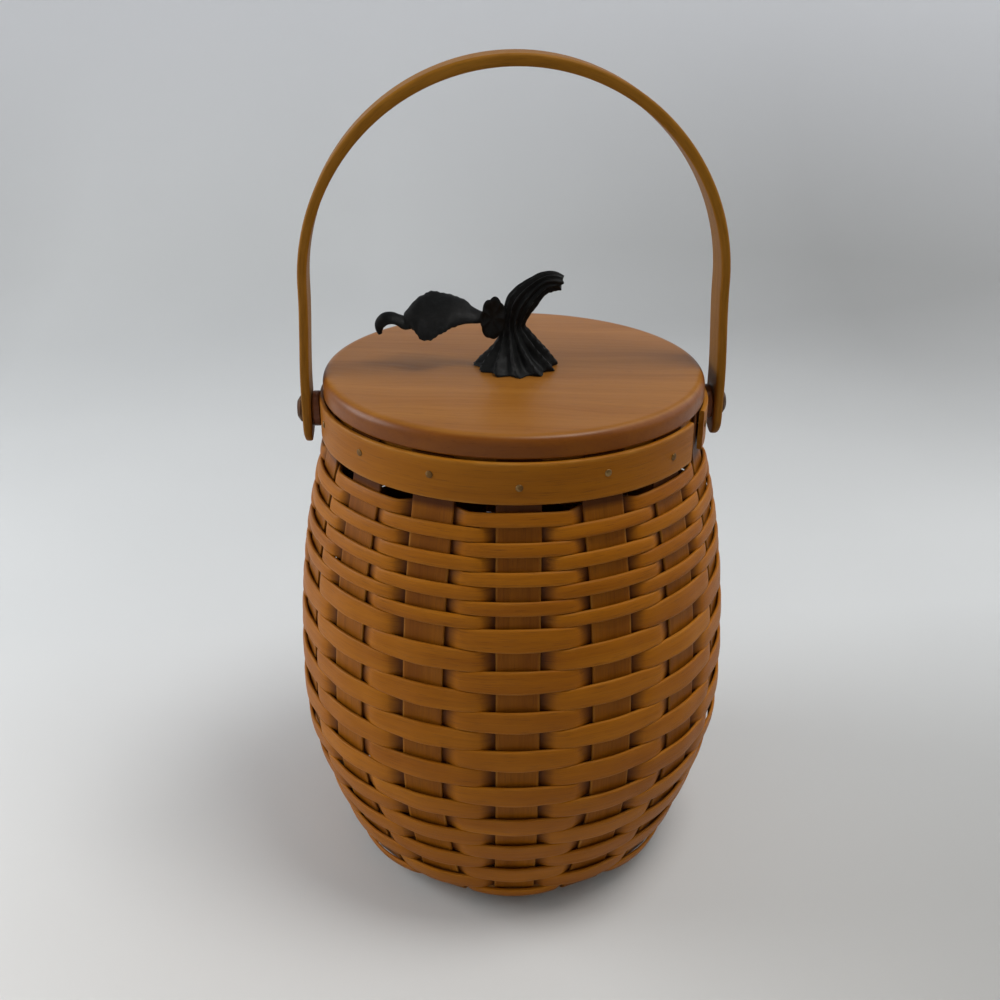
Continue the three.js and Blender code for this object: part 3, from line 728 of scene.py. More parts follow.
# %% [markdown]
# ## Metal
#
# The knob is cast in sand and painted matt black: its skin is slightly rough all over, and the
# paint has worn to a faint grey sheen on the high spots. The rivets are dark, antiqued brass. The
# nails are duller and paler, and the screws are plain steel.

# %% Node group: cast skin
tree, given, result = new_group(
    "cast_skin",
    {"Place": "vector", "Paint": "colour", "Bare": "colour"},
    {"Color": "colour", "Height": "float", "Roughness": "float"},
)
cast_skin = tree
grit = noise_node(tree, given["Place"], scale=1800)
lumps = noise_node(tree, given["Place"], scale=260)
worn_spots = range_node(tree, lumps, 0.5, 0.72, 0.0, 0.8)
send_out(
    tree, result,
    Color=mix_colour(tree, worn_spots, given["Paint"], given["Bare"]),
    Height=sum_node(tree, "MULTIPLY_ADD", lumps, 0.8, sum_node(tree, "MULTIPLY", grit, 0.5)),
    Roughness=range_node(tree, lumps, 0.3, 0.75, 0.62, 0.42),
)


# %% Metal finishes
def metal_finish(name, paint, bare, bump, metallic=1.0, shine=0.5):
    material, tree, principled = new_material(name, Metallic=metallic, Specular_IOR_Level=shine)
    surface = use_group(tree, cast_skin, {"Place": object_place(tree), "Paint": paint, "Bare": bare})
    put_on(tree, principled, surface["Color"], surface, bump, bump_depth=0.0003)
    return material


knob_finish = metal_finish("cast_black", (0.003, 0.0033, 0.0033, 1), (0.009, 0.0095, 0.0092, 1),
                           bump=0.5, metallic=0.0, shine=0.15)
rivet_finish = metal_finish("antique_rivet", (0.07, 0.033, 0.016, 1), (0.2, 0.11, 0.05, 1), bump=0.15)
nail_finish = metal_finish("dull_nail", (0.16, 0.085, 0.03, 1), (0.42, 0.28, 0.12, 1), bump=0.2)
screw_finish = metal_finish("plain_steel", (0.38, 0.38, 0.37, 1), (0.5, 0.5, 0.48, 1), bump=0.05)

# %% [markdown]
# ## The base board
#
# The stakes stand in a groove turned into the board's edge. A wooden disc with a groove is one
# profile on the lathe. Its corners are eased, as sanding leaves them.

# %% Base board
groove_half = stake_thick / 2 + seat_gap
groove_floor = board_radius - groove_depth
board_profile = eased([
    (0, 0, 0),
    (board_radius, 0, 1.2),
    (board_radius, tongue_height - groove_half, 0.3),
    (groove_floor, tongue_height - groove_half, 0),
    (groove_floor, tongue_height + groove_half, 0),
    (board_radius, tongue_height + groove_half, 0.3),
    (board_radius, board_thick, 1.2),
    (0, board_thick, 0),
])
finished(turned("base_disc", board_profile), "basket", "base_board", base_finish)
print("base board", 2 * board_radius, "mm across")

# %% [markdown]
# ## The stakes
#
# A stake is one splint, bent at the foot and again at the belly. It is swept along the wall's
# curve. A long, slow wobble in its width and to the side keeps the row of stakes from looking
# stamped out. Above the last row of weavers a stake lies in the shade of the rim, and its colour
# there is painted darker as shade.

# %% Stakes
dice = random.Random(15)
window_low = wall_at(weave_top * stretch)[0].y
width_wobble = 0.3
side_wobble = 0.25
# Share of painted shade on a stake above the last row, under the rim.
window_painted_shade = 0.8


def stake_path(bend_steps=6, wall_steps=60):
    path = [Vector((groove_floor + seat_gap, tongue_height))]
    path += [foot_arc(foot_lean * i / bend_steps) for i in range(bend_steps)]
    path += [wall_at(wall_length * i / wall_steps)[0] for i in range(wall_steps + 1)]
    return path + [Vector((rim_radius, outer_band_top))]


def stake(number):
    azimuth = stake_azimuth(number)
    aside = place(azimuth, 0, 1, 0)
    path = stake_path()
    phase = dice.uniform(0, 40)
    rings, painted_shade = [], []
    for i, point in enumerate(path):
        ahead = path[min(i + 1, len(path) - 1)]
        behind = path[max(i - 1, 0)]
        along = place(azimuth, (ahead - behind).x, 0, (ahead - behind).y).normalized()
        width = stake_width + width_wobble * noise.noise(Vector((phase, i * 0.11, 0)))
        drift = side_wobble * noise.noise(Vector((phase, i * 0.07, 5)))
        section = splint_section(width, stake_thick, 0.3)
        centre = place(azimuth, point.x, drift, point.y)
        rings.append(swept_ring(section, centre, aside, aside.cross(along)))
        # Above the weave the stake's colour takes painted shade from the rim.
        painted_shade.append(window_painted_shade if point.y > window_low else 0.0)
    label = f"stake_{number + 1:02d}"
    piece = skin(f"upright_{label}", rings, edges_of(section), painted_shade, grain_start=0.7 * number)
    finished(piece, "basket", label, stake_finish)


for number in range(stake_count):
    stake(number)
print(stake_count, "stakes,", round(math.degrees(stake_pitch), 1), "degrees apart")

# %% [markdown]
# ## The weavers
#
# Over a stake the splint bows outward and widens, between two stakes it swings in, and behind the
# next it lies flat, deep in the wall. A few stations at each stake fix the path, and a smooth curve
# through the stations does the rest, as a springy splint would. Small seeded changes in height, bow
# and lean at each stake make the rows look woven by hand.

# %% Weavers
over_gap = 0.05
bow_range = (1.0, 1.3)
dive_depth = 0.2
shoulder_share = 0.75
shoulder_out = 0.15
lift_range = 0.14
lean_range = math.radians(2.5)
edge_bow = 0.35
narrow_swell = 0.25
wide_swell = 1.4
edge_swell = 0.8
shoulder_swell = 0.1
tuck_swell = 2.2
weaver_crown = 0.35
steps_over = 4
steps_under = 2
steps_between = 6


def swell(width):
    """How much wider than its row a splint looks where it bows over a stake."""
    share = max(0, (width - narrow_width) / (wide_width - narrow_width))
    return narrow_swell + (wide_swell - narrow_swell) * share


def weaver_station(at_pass, aside, out, more, painted_shade, steps, habit):
    """Centre, direction up the wall, width and share of painted shade of a weaver beside the middle of a
    stake.
    """
    i = at_pass - first_pass
    near = wall_at(lower_edges[i] * stretch)[0].x
    share = math.atan(aside / near) / stake_pitch
    rise = lower_edges[i + 1] - lower_edges[i]
    if share < 0:
        rise = lower_edges[i] - lower_edges[max(i - 1, 0)]
    low = lower_edges[i] + share * rise - more / 2
    high = min(low + row_width(at_pass) + more, rim_up_wall - rim_clearance)
    point, normal = wall_at((low + high) / 2 * stretch + habit["lift"])
    centre = point + normal * out
    azimuth = stake_azimuth(at_pass)
    up = Vector((-normal.y, normal.x))
    leaned = up + normal * math.sin(habit["lean"])
    return {
        "centre": place(azimuth, centre.x, aside, centre.y),
        "across": place(azimuth, leaned.x, 0, leaned.y).normalized(),
        "width": high - low,
        "painted_shade": painted_shade,
        "steps": steps,
    }


def weaver_stations(start, end):
    """Over a stake: its two edges and a bow between them. Under one: a shoulder on each side too."""
    half = stake_width / 2
    lying = stake_thick / 2 + over_gap + weaver_thick / 2
    stations = []
    for at_pass in range(start, end + 1):
        habit = {
            "lift": dice.uniform(-lift_range, lift_range),
            "lean": dice.uniform(-lean_range, lean_range),
        }
        bow = dice.uniform(*bow_range)
        full = swell(row_width(at_pass))
        if at_pass % 2 == 0:
            edge = (lying + bow * edge_bow, full * edge_swell, 0.0)
            spots = [(-half, *edge, steps_over), (0, lying + bow, full, 0.0, steps_over),
                     (half, *edge, steps_between)]
        else:
            near = wall_at(lower_edges[at_pass - first_pass] * stretch)[0].x
            far = half + shoulder_share * (near * math.tan(stake_pitch / 2) - half)
            shoulder = (shoulder_out, shoulder_swell, 0.0, steps_between)
            # Behind a stake the splint takes full painted shade.
            under = (-lying - dive_depth, tuck_swell, 1.0)
            spots = [(-far, *shoulder), (-half, *under, steps_under), (0, *under, steps_under),
                     (half, *under, steps_between), (far, *shoulder)]
        if at_pass == start:
            spots = [(seat_gap, *spots[2][1:])] + spots[3:]
        if at_pass == end:
            spots = spots[:2] + [(-seat_gap, *spots[2][1:])]
        stations += [weaver_station(at_pass, *spot, habit) for spot in spots]
    return stations


def smooth_course(stations):
    """Points on one smooth curve through the stations, each with its width, lean and share of painted
    shade.
    """
    at = [0.0]
    for here, ahead in zip(stations, stations[1:]):
        at.append(at[-1] + (ahead["centre"] - here["centre"]).length)
    slopes = []
    for i in range(len(stations)):
        low, high = max(i - 1, 0), min(i + 1, len(stations) - 1)
        slopes.append((stations[high]["centre"] - stations[low]["centre"]) / (at[high] - at[low]))
    course = []
    for i, (here, ahead) in enumerate(zip(stations, stations[1:])):
        span = at[i + 1] - at[i]
        last = i == len(stations) - 2
        for step in range(here["steps"] + last):
            s = step / here["steps"]
            centre = (here["centre"] * (2 * s**3 - 3 * s**2 + 1)
                      + slopes[i] * (span * (s**3 - 2 * s**2 + s))
                      + ahead["centre"] * (3 * s**2 - 2 * s**3)
                      + slopes[i + 1] * (span * (s**3 - s**2)))
            course.append({
                "centre": centre,
                "across": here["across"].lerp(ahead["across"], s),
                "width": here["width"] + (ahead["width"] - here["width"]) * s,
                "painted_shade": here["painted_shade"] + (ahead["painted_shade"] - here["painted_shade"]) * s,
            })
    return course


def weaver(name, node, start, end, grain_start):
    course = smooth_course(weaver_stations(start, end))
    rings = []
    for i, spot in enumerate(course):
        ahead = course[min(i + 1, len(course) - 1)]["centre"]
        behind = course[max(i - 1, 0)]["centre"]
        along = (ahead - behind).normalized()
        out = along.cross(spot["across"]).normalized()
        across = out.cross(along)
        section = splint_section(spot["width"], weaver_thick, 0.28, crown=weaver_crown)
        rings.append(swept_ring(section, spot["centre"], across, out))
    painted_shade = [spot["painted_shade"] for spot in course]
    piece = skin(name, rings, edges_of(section), painted_shade, grain_start=grain_start)
    finished(piece, "basket", node, weaver_finish)
    length = sum((ahead["centre"] - here["centre"]).length for here, ahead in zip(course, course[1:]))
    print(name, len(piece.data.polygons), "faces,", round(length * MM, 2), "m long")


def splices(start, end, count):
    """The passes where splints meet end to end: odd ones, so that a stake hides each joint."""
    passes = [math.floor(start + (end - start) * i / count + 0.5) for i in range(count + 1)]
    return [at_pass - 1 if at_pass % 2 == 0 else at_pass for at_pass in passes]


def weave(name, node, start, end, count):
    ends = splices(start, end, count)
    for i in range(count):
        weaver(f"{name}_{i + 1}", f"{node}_{i + 1}", ends[i], ends[i + 1], grain_start=2.3 * i)


weave("wide_splint", "wide_weaver", first_pass, join_pass, wide_splints)
weave("narrow_splint", "narrow_weaver", join_pass, last_pass, narrow_splints)

# %% [markdown]
# ## The rim bands
#
# The inner band is a ring that stands a little higher and carries the lid. The outer band goes
# round outside the stakes, and its ends leave a narrow slot at the right front. Both are the flat
# section again, swept round a circle.

# %% Rim bands
inner_band_thick = 2.6
outer_band_thick = 2.4
inner_band_out = side_of("inner_band", "x")
band_out = side_of("outer_band", "x")
slot_start = math.radians(56.7)
slot_end = math.radians(66.7)


def band(name, node, middle_radius, low, high, thick, ease, start, sweep, closed, steps=180):
    section = splint_section(high - low, thick, ease, arc_steps=3)
    rings = []
    for i in range(steps if closed else steps + 1):
        azimuth = start + sweep * i / steps
        sway = 0.12 * noise.noise(Vector((math.sin(azimuth), math.cos(azimuth), middle_radius)) * 3)
        centre = place(azimuth, middle_radius + sway, 0, (low + high) / 2)
        rings.append(swept_ring(section, centre, Vector((0, 0, 1)), place(azimuth, 1, 0, 0)))
    piece = skin(name, rings, edges_of(section), closed=closed)
    finished(piece, "basket", node, band_finish)


band("inner_rim_band", "inner_band", inner_band_out - inner_band_thick / 2, rim_low, inner_band_top,
     inner_band_thick, 0.9, 0, 2 * math.pi, True)
band("outer_rim_band", "outer_band", band_out - outer_band_thick / 2, rim_low, outer_band_top,
     outer_band_thick, 0.8, slot_end, 2 * math.pi - (slot_end - slot_start), False)
print("outer band", round(2 * band_out, 1), "mm across")

# %% [markdown]
# ## The nails
#
# A small brass nail goes through the rim at every stake but the one that the right rivet clamps.
# Hammering leaves each head a little tilted.

# %% Nails
nail_height = (rim_low + outer_band_top) / 2
nail_head_radius = 1.7
nail_head_tall = 0.7
nail_radius = 0.6
nail_point = 1.2
nail_tilt = math.radians(1.2)
inner_band_in = inner_band_out - inner_band_thick


def nail(number):
    azimuth = stake_azimuth(number)
    profile = eased([
        (0, inner_band_in - nail_point, 0),
        (nail_radius, inner_band_in, 0.2),
        (nail_radius, band_out, 0),
        (nail_head_radius, band_out, 0.1),
        (nail_head_radius * 0.9, band_out + nail_head_tall * 0.55, 0.4),
        (0, band_out + nail_head_tall, 0),
    ])
    tilt = Matrix.Rotation(dice.uniform(-nail_tilt, nail_tilt), 4, "X")
    laid = Matrix.Translation((0, 0, nail_height)) @ facing(place(azimuth, 1, 0, 0)) @ tilt
    piece = turned(f"rim_nail_{number + 1:02d}", profile, segments=20, laid=laid)
    finished(piece, "basket", f"nail_{number + 1:02d}", nail_finish)


nailed = [n for n in range(stake_count) if f"nail_{n + 1:02d}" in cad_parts]
for number in nailed:
    nail(number)
print(len(nailed), "nails")

# %% [markdown]
# ## The handle's pivots
#
# On each side a dark wooden boss spaces the handle off the rim. Its back is hollowed to sit on the
# round band. A domed rivet goes through the handle, the boss and the rim, and is spread over a
# washer inside.

# %% Pivots
pivot_height = (side_of("rivet_right", "z", high=False) + side_of("rivet_right", "z")) / 2
boss_radius = 8.4
boss_face = side_of("boss_right", "x")
leg_out = side_of("handle", "x")
rivet_in = side_of("rivet_right", "x", high=False)
rivet_out = side_of("rivet_right", "x")
rivet_radius = 1.8
rivet_head_radius = 6.5
peen_radius = 3.4
washer_in = side_of("washer_right", "x", high=False)
washer_out = side_of("washer_right", "x")
washer_radius = 5


def along_pivot(side):
    """Lays a turned piece along the pivot line, pointing out to the side."""
    return Matrix.Translation((0, 0, pivot_height)) @ Matrix.Rotation(side * math.pi / 2, 4, "Y")


def boss(side, hand):
    """A turned disc whose back follows the outer band."""
    rows = [(0, 0.0), (boss_radius * 0.5, 0.0), (boss_radius * 0.97, 0.0), (boss_radius, 0.12),
            (boss_radius, 0.8), (boss_radius * 0.96, 0.94), (boss_radius * 0.9, 1.0), (0, 1.0)]
    made = turned(f"pivot_boss_{hand}", rows, segments=64, laid=along_pivot(side))
    for vertex in made.data.vertices:
        depth = abs(vertex.co.x) / MM
        seat = math.sqrt((band_out + 0.1)**2 - (vertex.co.y / MM)**2)
        vertex.co.x = side * (seat + (boss_face - seat) * depth) * MM
    finished(made, "basket", f"boss_{hand}", boss_finish)


def rivet(side, hand):
    seat = leg_out + 0.1
    profile = eased([
        (0, rivet_in, 0),
        (peen_radius, rivet_in, 0.8),
        (peen_radius, washer_in, 0),
        (rivet_radius, washer_in, 0),
        (rivet_radius, seat, 0),
        (rivet_head_radius, seat, 0.3),
        (rivet_head_radius * 0.96, seat + 1.1, 0.8),
        (rivet_head_radius * 0.6, rivet_out - 0.3, 1.6),
        (0, rivet_out, 0),
    ])
    piece = turned(f"domed_rivet_{hand}", profile, segments=64, laid=along_pivot(side))
    finished(piece, "basket", f"rivet_{hand}", rivet_finish)


def washer(side, hand):
    hole = rivet_radius + seat_gap
    profile = [(hole, washer_in), (washer_radius - 0.2, washer_in), (washer_radius, washer_in + 0.2),
               (washer_radius, washer_out), (hole, washer_out)]
    piece = turned(f"rivet_washer_{hand}", profile, segments=48, ring=True, laid=along_pivot(side))
    finished(piece, "basket", f"washer_{hand}", rivet_finish)


for side, hand in ((-1, "left"), (1, "right")):
    boss(side, hand)
    rivet(side, hand)
    washer(side, hand)
print("pivot line", round(pivot_height, 1), "mm up")

# %% [markdown]
# ## The handle
#
# The handle is one steam-bent strip: two legs with round ends that lean in a little, and an arch
# between them, where the strip is thicker. The rounded end is the strip's own section, made
# narrower station by station.

# %% Handle
strip_width = 20
strip_thick = 4.2
grip_thick = 5.4
end_thick = 2.4
leg_tail = 16
leg_rise = 60
leg_lean = 1.8
arch_rise = 97.2
end_tip = 0.08
leg_middle = leg_out - strip_thick / 2
spring = pivot_height + leg_rise


def leg_stations(end_steps=14, leg_steps=20):
    """Height, width, thickness and lean of the sections up a leg."""
    radius = strip_width / 2
    stations = []
    for i in range(end_steps + 1):
        angle = math.pi / 2 * (end_tip + (1 - end_tip) * i / end_steps)
        up = 1 - math.cos(angle)
        thick = end_thick + (strip_thick - end_thick) * math.sin(math.pi / 2 * min(1, up + 0.1))
        stations.append((pivot_height - leg_tail + radius * up, 2 * radius * math.sin(angle), thick, 0))
    straight = pivot_height + radius
    stations.append((straight, strip_width, strip_thick, 0))
    for i in range(1, leg_steps + 1):
        s = i / leg_steps
        lean = leg_lean * s * s * (3 - 2 * s)
        stations.append((straight + (spring - straight) * s, strip_width, strip_thick, lean))
    return stations


def leg_spots(side):
    """Centre, outward direction, width and thickness of the sections up a leg."""
    return [(Vector((side * (leg_middle - lean), 0, z)), Vector((side, 0, 0)), width, thick)
            for z, width, thick, lean in leg_stations()]


def handle_rings(arch_steps=84):
    spots = leg_spots(-1)
    half = leg_middle - leg_lean
    for i in range(1, arch_steps):
        angle = math.pi * i / arch_steps
        across, up = -math.cos(angle), math.sin(angle)
        centre = Vector((half * across, 0, spring + arch_rise * up))
        out = Vector((arch_rise * across, 0, half * up)).normalized()
        spots.append((centre, out, strip_width, strip_thick + (grip_thick - strip_thick) * up))
    spots += reversed(leg_spots(1))
    rings = []
    for centre, out, width, thick in spots:
        ease = min(1.3, width * 0.3, thick * 0.4)
        section = splint_section(width, thick, ease, arc_steps=3, hold=1.6)
        rings.append(swept_ring(section, centre, Vector((0, 1, 0)), out))
    return rings, edges_of(section)


def drilled(piece, centre, direction, radius):
    """Cuts a round hole through a piece."""
    laid = Matrix.Translation(centre) @ facing(direction)
    cutter = turned("drill", [(0, -20), (radius, -20), (radius, 20), (0, 20)], segments=32, laid=laid)
    modifier = piece.modifiers.new("hole", "BOOLEAN")
    modifier.operation = "DIFFERENCE"
    modifier.solver = "EXACT"
    modifier.object = cutter
    graph = bpy.context.evaluated_depsgraph_get()
    cut_mesh = bpy.data.meshes.new_from_object(piece.evaluated_get(graph))
    piece.modifiers.clear()
    piece.data = cut_mesh
    bpy.data.objects.remove(cutter)


rings, edge_marks = handle_rings()
strip = skin("bent_handle", rings, edge_marks)
for side in (-1, 1):
    centre = Vector((side * leg_middle, 0, pivot_height))
    drilled(strip, centre, Vector((side, 0, 0)), rivet_radius + seat_gap)
finished(strip, "handle", "handle", handle_finish)
print("handle", round(2 * leg_out, 1), "mm across, faces", len(strip.data.polygons))

# %% [markdown]
# ## The lid
#
# The lid is a turned board with a wide rounding on its upper edge. Under it a smaller disc, held by
# screws, drops inside the rim and keeps the lid from sliding off.

# %% Lid
lid_radius = side_of("lid_board", "x")
lid_under = side_of("lid_board", "z", high=False)
lid_top = side_of("lid_board", "z")
keeper_radius = side_of("lid_keeper", "x")
keeper_under = side_of("lid_keeper", "z", high=False)
keeper_top = side_of("lid_keeper", "z")
lid_round = 6.4
bolt_radius = 2
bolt_head_radius = 4.6
screw_radius = 1.5
screw_head_radius = 3.4

lid_profile = eased([
    (bolt_radius + seat_gap, lid_under, 0),
    (lid_radius, lid_under, 1.2),
    (lid_radius, lid_top, lid_round),
    (bolt_radius + seat_gap, lid_top, 0),
], steps=10)
lid = turned("turned_lid", lid_profile, segments=192, ring=True)
finished(lid, "lid", "lid_board", lid_finish)

keeper_profile = eased([
    (bolt_head_radius + 1, keeper_under, 0),
    (keeper_radius, keeper_under, 1.2),
    (keeper_radius, keeper_top, 0.3),
    (bolt_head_radius + 1, keeper_top, 0),
])
keeper = turned("keeper_disc", keeper_profile, segments=128, ring=True)
finished(keeper, "lid", "lid_keeper", base_finish)


def screw(number):
    box_low, box_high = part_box(f"keeper_screw_{number}")
    centre = (box_low + box_high) / 2 / MM
    profile = eased([
        (0, keeper_under + 0.5, 0),
        (screw_head_radius * 0.4, keeper_under + 0.5, 0),
        (screw_head_radius * 0.55, keeper_under, 0),
        (screw_head_radius, keeper_under, 0.15),
        (screw_head_radius, keeper_under + 1.3, 0),
        (screw_radius, keeper_under + 2.2, 0),
        (screw_radius, box_high.z / MM - 1.5, 0),
        (0, box_high.z / MM, 0),
    ])
    laid = Matrix.Translation((centre.x, centre.y, 0))
    piece = turned(f"steel_screw_{number}", profile, segments=32, laid=laid)
    finished(piece, "lid", f"keeper_screw_{number}", screw_finish)


for number in (1, 2, 3):
    screw(number)

bolt_under = side_of("knob_bolt", "z", high=False)
bolt_tip = side_of("knob_bolt", "z")
bolt_profile = eased([
    (0, bolt_under, 0),
    (bolt_head_radius, bolt_under, 1.4),
    (bolt_head_radius, keeper_top, 0.2),
    (bolt_radius, keeper_top, 0),
    (bolt_radius, bolt_tip, 0.4),
    (0, bolt_tip, 0),
])
finished(turned("knob_screw", bolt_profile, segments=48), "lid", "knob_bolt", screw_finish)
print("lid", round(2 * lid_radius, 1), "mm across,", round(lid_top - lid_under, 1), "mm thick")

# %% [markdown]
# ## The knob's stem
#
# The knob is cast in the shape of a stem: a flared foot with deep flutes, a narrow neck, and a
# ribbed upper part that bends over and ends in a blunt, broken tip. It is a ring of flutes, swept
# along a bent centre line. A short table gives its stations: out, up, radius and the depth of the
# flutes as a share of it. The flutes twist a little as they climb, and fade at the tip.

# %% Stem
knob_foot = side_of("knob_stem", "z", high=False)
flutes = 12
flute_twist = 0.9
flute_power = 1.5
stem_uneven = 0.06
stem_upright_to = 0.15
stem_flare_to = 0.12
flare_lift = 0.9
broken_from = 0.9
broken_rough = 2
broken_fade = 0.6
stem_stations = [
    (1.4, 0, 20.2, 0.16),
    (1.4, 1.4, 19.8, 0.2),
    (1.2, 4.4, 17.2, 0.26),
    (1, 7.2, 14.4, 0.3),
    (0.7, 10.4, 11.4, 0.3),
    (0.2, 14, 8.5, 0.28),
    (-0.4, 18, 6.2, 0.24),
    (-0.1, 21.5, 5.9, 0.24),
    (1.2, 25.3, 6.3, 0.24),
    (3, 29.6, 7, 0.24),
    (6.2, 33.5, 6.7, 0.24),
    (10, 36.9, 5.7, 0.26),
    (14, 39.3, 5.2, 0.22),
    (18, 39.7, 4.9, 0.17),
    (21.2, 38.9, 4, 0.13),
]


def through(stations, share):
    """A row of values on a smooth curve through the stations, at a share of the way."""
    spot = share * (len(stations) - 1)
    i = min(int(spot), len(stations) - 2)
    s = spot - i
    picked = [stations[min(max(i + k, 0), len(stations) - 1)] for k in (-1, 0, 1, 2)]
    values = []
    for a, b, c, d in zip(*picked):
        values.append(b + 0.5 * s * (c - a + s * (2 * a - 5 * b + 4 * c - d + s * (3 * (b - c) + d - a))))
    return values


def stem_middle(share):
    x, up, _, _ = through(stem_stations, min(max(share, 0), 1))
    return Vector((x, 0, knob_foot + up))


def stem_rings(steps=96, sides=108):
    rings = []
    for i in range(steps + 1):
        share = i / steps
        _, _, radius, depth = through(stem_stations, share)
        middle = stem_middle(share)
        along = (stem_middle(share + 0.01) - stem_middle(share - 0.01)).normalized()
        if share < stem_upright_to:
            along = along.lerp(Vector((0, 0, 1)), 1 - share / stem_upright_to).normalized()
        across = Vector((0, 1, 0)).cross(along).normalized()
        broken = max(0, share - broken_from) / (1 - broken_from)
        ring = []
        for k in range(sides):
            angle = 2 * math.pi * k / sides
            wave = abs(math.sin(flutes / 2 * (angle + flute_twist * share)))
            groove = (1 - broken_fade * broken) * wave ** flute_power
            round_about = Vector((math.cos(angle), math.sin(angle), 0))
            uneven = 1 + stem_uneven * noise.noise(round_about * 1.3 + Vector((0, 0, share * 4)))
            reach = radius * (uneven - depth * groove)
            point = middle + across * (reach * round_about.x) + Vector((0, reach * round_about.y, 0))
            point += along * (broken * broken_rough * noise.noise(round_about * 1.6))
            if i == 0:
                point.z = knob_foot
            elif share < stem_flare_to:
                point.z += (1 - share / stem_flare_to) * flare_lift * groove
            ring.append(point)
        rings.append(ring)
    tip = rings[-1]
    centre = sum(tip, Vector()) / len(tip)
    for pull in (0.75, 0.45, 0.15):
        nudge = Vector((0.6 * (1 - pull), 0, -0.1))
        rings.append([centre + (point - centre) * pull + nudge for point in tip])
    return rings


stem = skin("fluted_stem", stem_rings(), sharp_angle=60)
finished(stem, "lid", "knob_stem", knob_finish)
print("stem", len(stem.data.polygons), "faces")

# %% [markdown]
# ## The knob's leaf
#
# The leaf grows from a peg in the stem. It is a thin plate that dishes and twists along its rib,
# narrows to a curl at the tip, and has a wavy rim and raised veins. A lathe or a sweep can't
# make that, so the plate is a grid of points, with an upper and a lower side. The table gives its
# stations along the rib: out, up, half the width and the twist in degrees. A small lobed leaflet
# covers the joint.

# %% Leaf
stalk_height = knob_foot + 22.5
stalk_out = -6.5
peg_radius = 1.9
peg_length = 3.2
stalk_length = 13.5
leaf_thick = 2
leaf_skew = 1.6
rib_high = 0.55
rib_wide = 0.7
vein_high = 0.32
vein_wide = 0.45
vein_gap = 5.2
vein_slant = 0.75
leaflet_middle = Vector((-10.2, -3.2, stalk_height + 1.6))
leaflet_half_wide = 6.2
leaflet_half_tall = 10
leaflet_half_thick = 1.0
leaflet_dish = 1.6
leaflet_scallop = 0.09
leaflet_crease = 0.8
leaf_stations = [
    (12, 0.6, 2.6, 26),
    (16.5, 1.3, 4.1, 32),
    (21, 2.5, 5.6, 34),
    (25, 3.7, 8, 34),
    (30, 4.2, 10.7, 36),
    (36, 3.6, 13.2, 36),
    (41.5, 2.8, 13.8, 36),
    (44.5, 2.5, 12.2, 36),
    (47, 1.7, 9.6, 36),
    (49, 0.5, 7, 35),
    (51, -0.8, 4.4, 34),
    (53.7, 0.3, 3.5, 32),
    (57, 1.3, 3.8, 32),
    (60.3, 0.7, 3.8, 36),
    (62.6, -1.8, 3.1, 46),
    (62.9, -4.6, 2, 56),
    (62.3, -6.5, 1, 60),
]


def vein_height(out, share, half):
    """Height of the veins on the leaf: the rib, and side veins that slant forward from it."""
    side = abs(share) * half
    rib = rib_high * math.exp(-(side / rib_wide) ** 2)
    slant = (out - vein_slant * side) % vein_gap - vein_gap / 2
    veins = vein_high * math.exp(-(slant / vein_wide) ** 2) * (1 - abs(share) ** 3)
    fade = min(1, max(0, (half - 4.5) / 3))
    return rib + veins * fade


def leaf_rings(steps=130, across_steps=28):
    rings = []
    for i in range(steps + 1):
        share = i / steps
        out, up, half, twist = through(leaf_stations, share)
        before = through(leaf_stations, max(share - 0.01, 0))
        after = through(leaf_stations, min(share + 0.01, 1))
        along = Vector((before[0] - after[0], 0, after[1] - before[1])).normalized()
        turned_by = Matrix.Rotation(-math.radians(twist), 3, along)
        wide = turned_by @ Vector((0, 1, 0))
        thick = turned_by @ along.cross(Vector((0, 1, 0)))
        ruffle = min(1, max(0, (half - 4) / 5))
        half *= 1 + ruffle * (0.018 * math.sin(out * 2.3) + 0.02 * math.sin(out * 0.83 + 1))
        centre = Vector((-out, 0, stalk_height + up))
        ring = []
        for face in (1, -1):
            for k in range(across_steps + 1):
                a = face * (2 * k / across_steps - 1)
                body = leaf_thick / 2 * (1.05 - 0.55 * a * a)
                rim = math.sqrt(max(0.0, 1 - abs(a) ** 10))
                dish = half * 0.14 * a * a
                wave = ruffle * 0.6 * a * a * math.sin(out * 0.4 + 2 * a)
                relief = vein_height(out, a, half) - 0.3 if face > 0 else 0
                rise = dish + wave + face * rim * (body + relief)
                skewed = Vector((leaf_skew * ruffle * a, 0, 0))
                ring.append(centre + wide * (half * a) + thick * rise + skewed)
        rings.append(ring)
    return rings


def joined(name, pieces):
    """One mesh from several closed pieces that meet."""
    made = bmesh.new()
    for piece in pieces:
        made.from_mesh(piece.data)
        bpy.data.objects.remove(piece)
    return piece_from(made, name, sharp_angle=60)


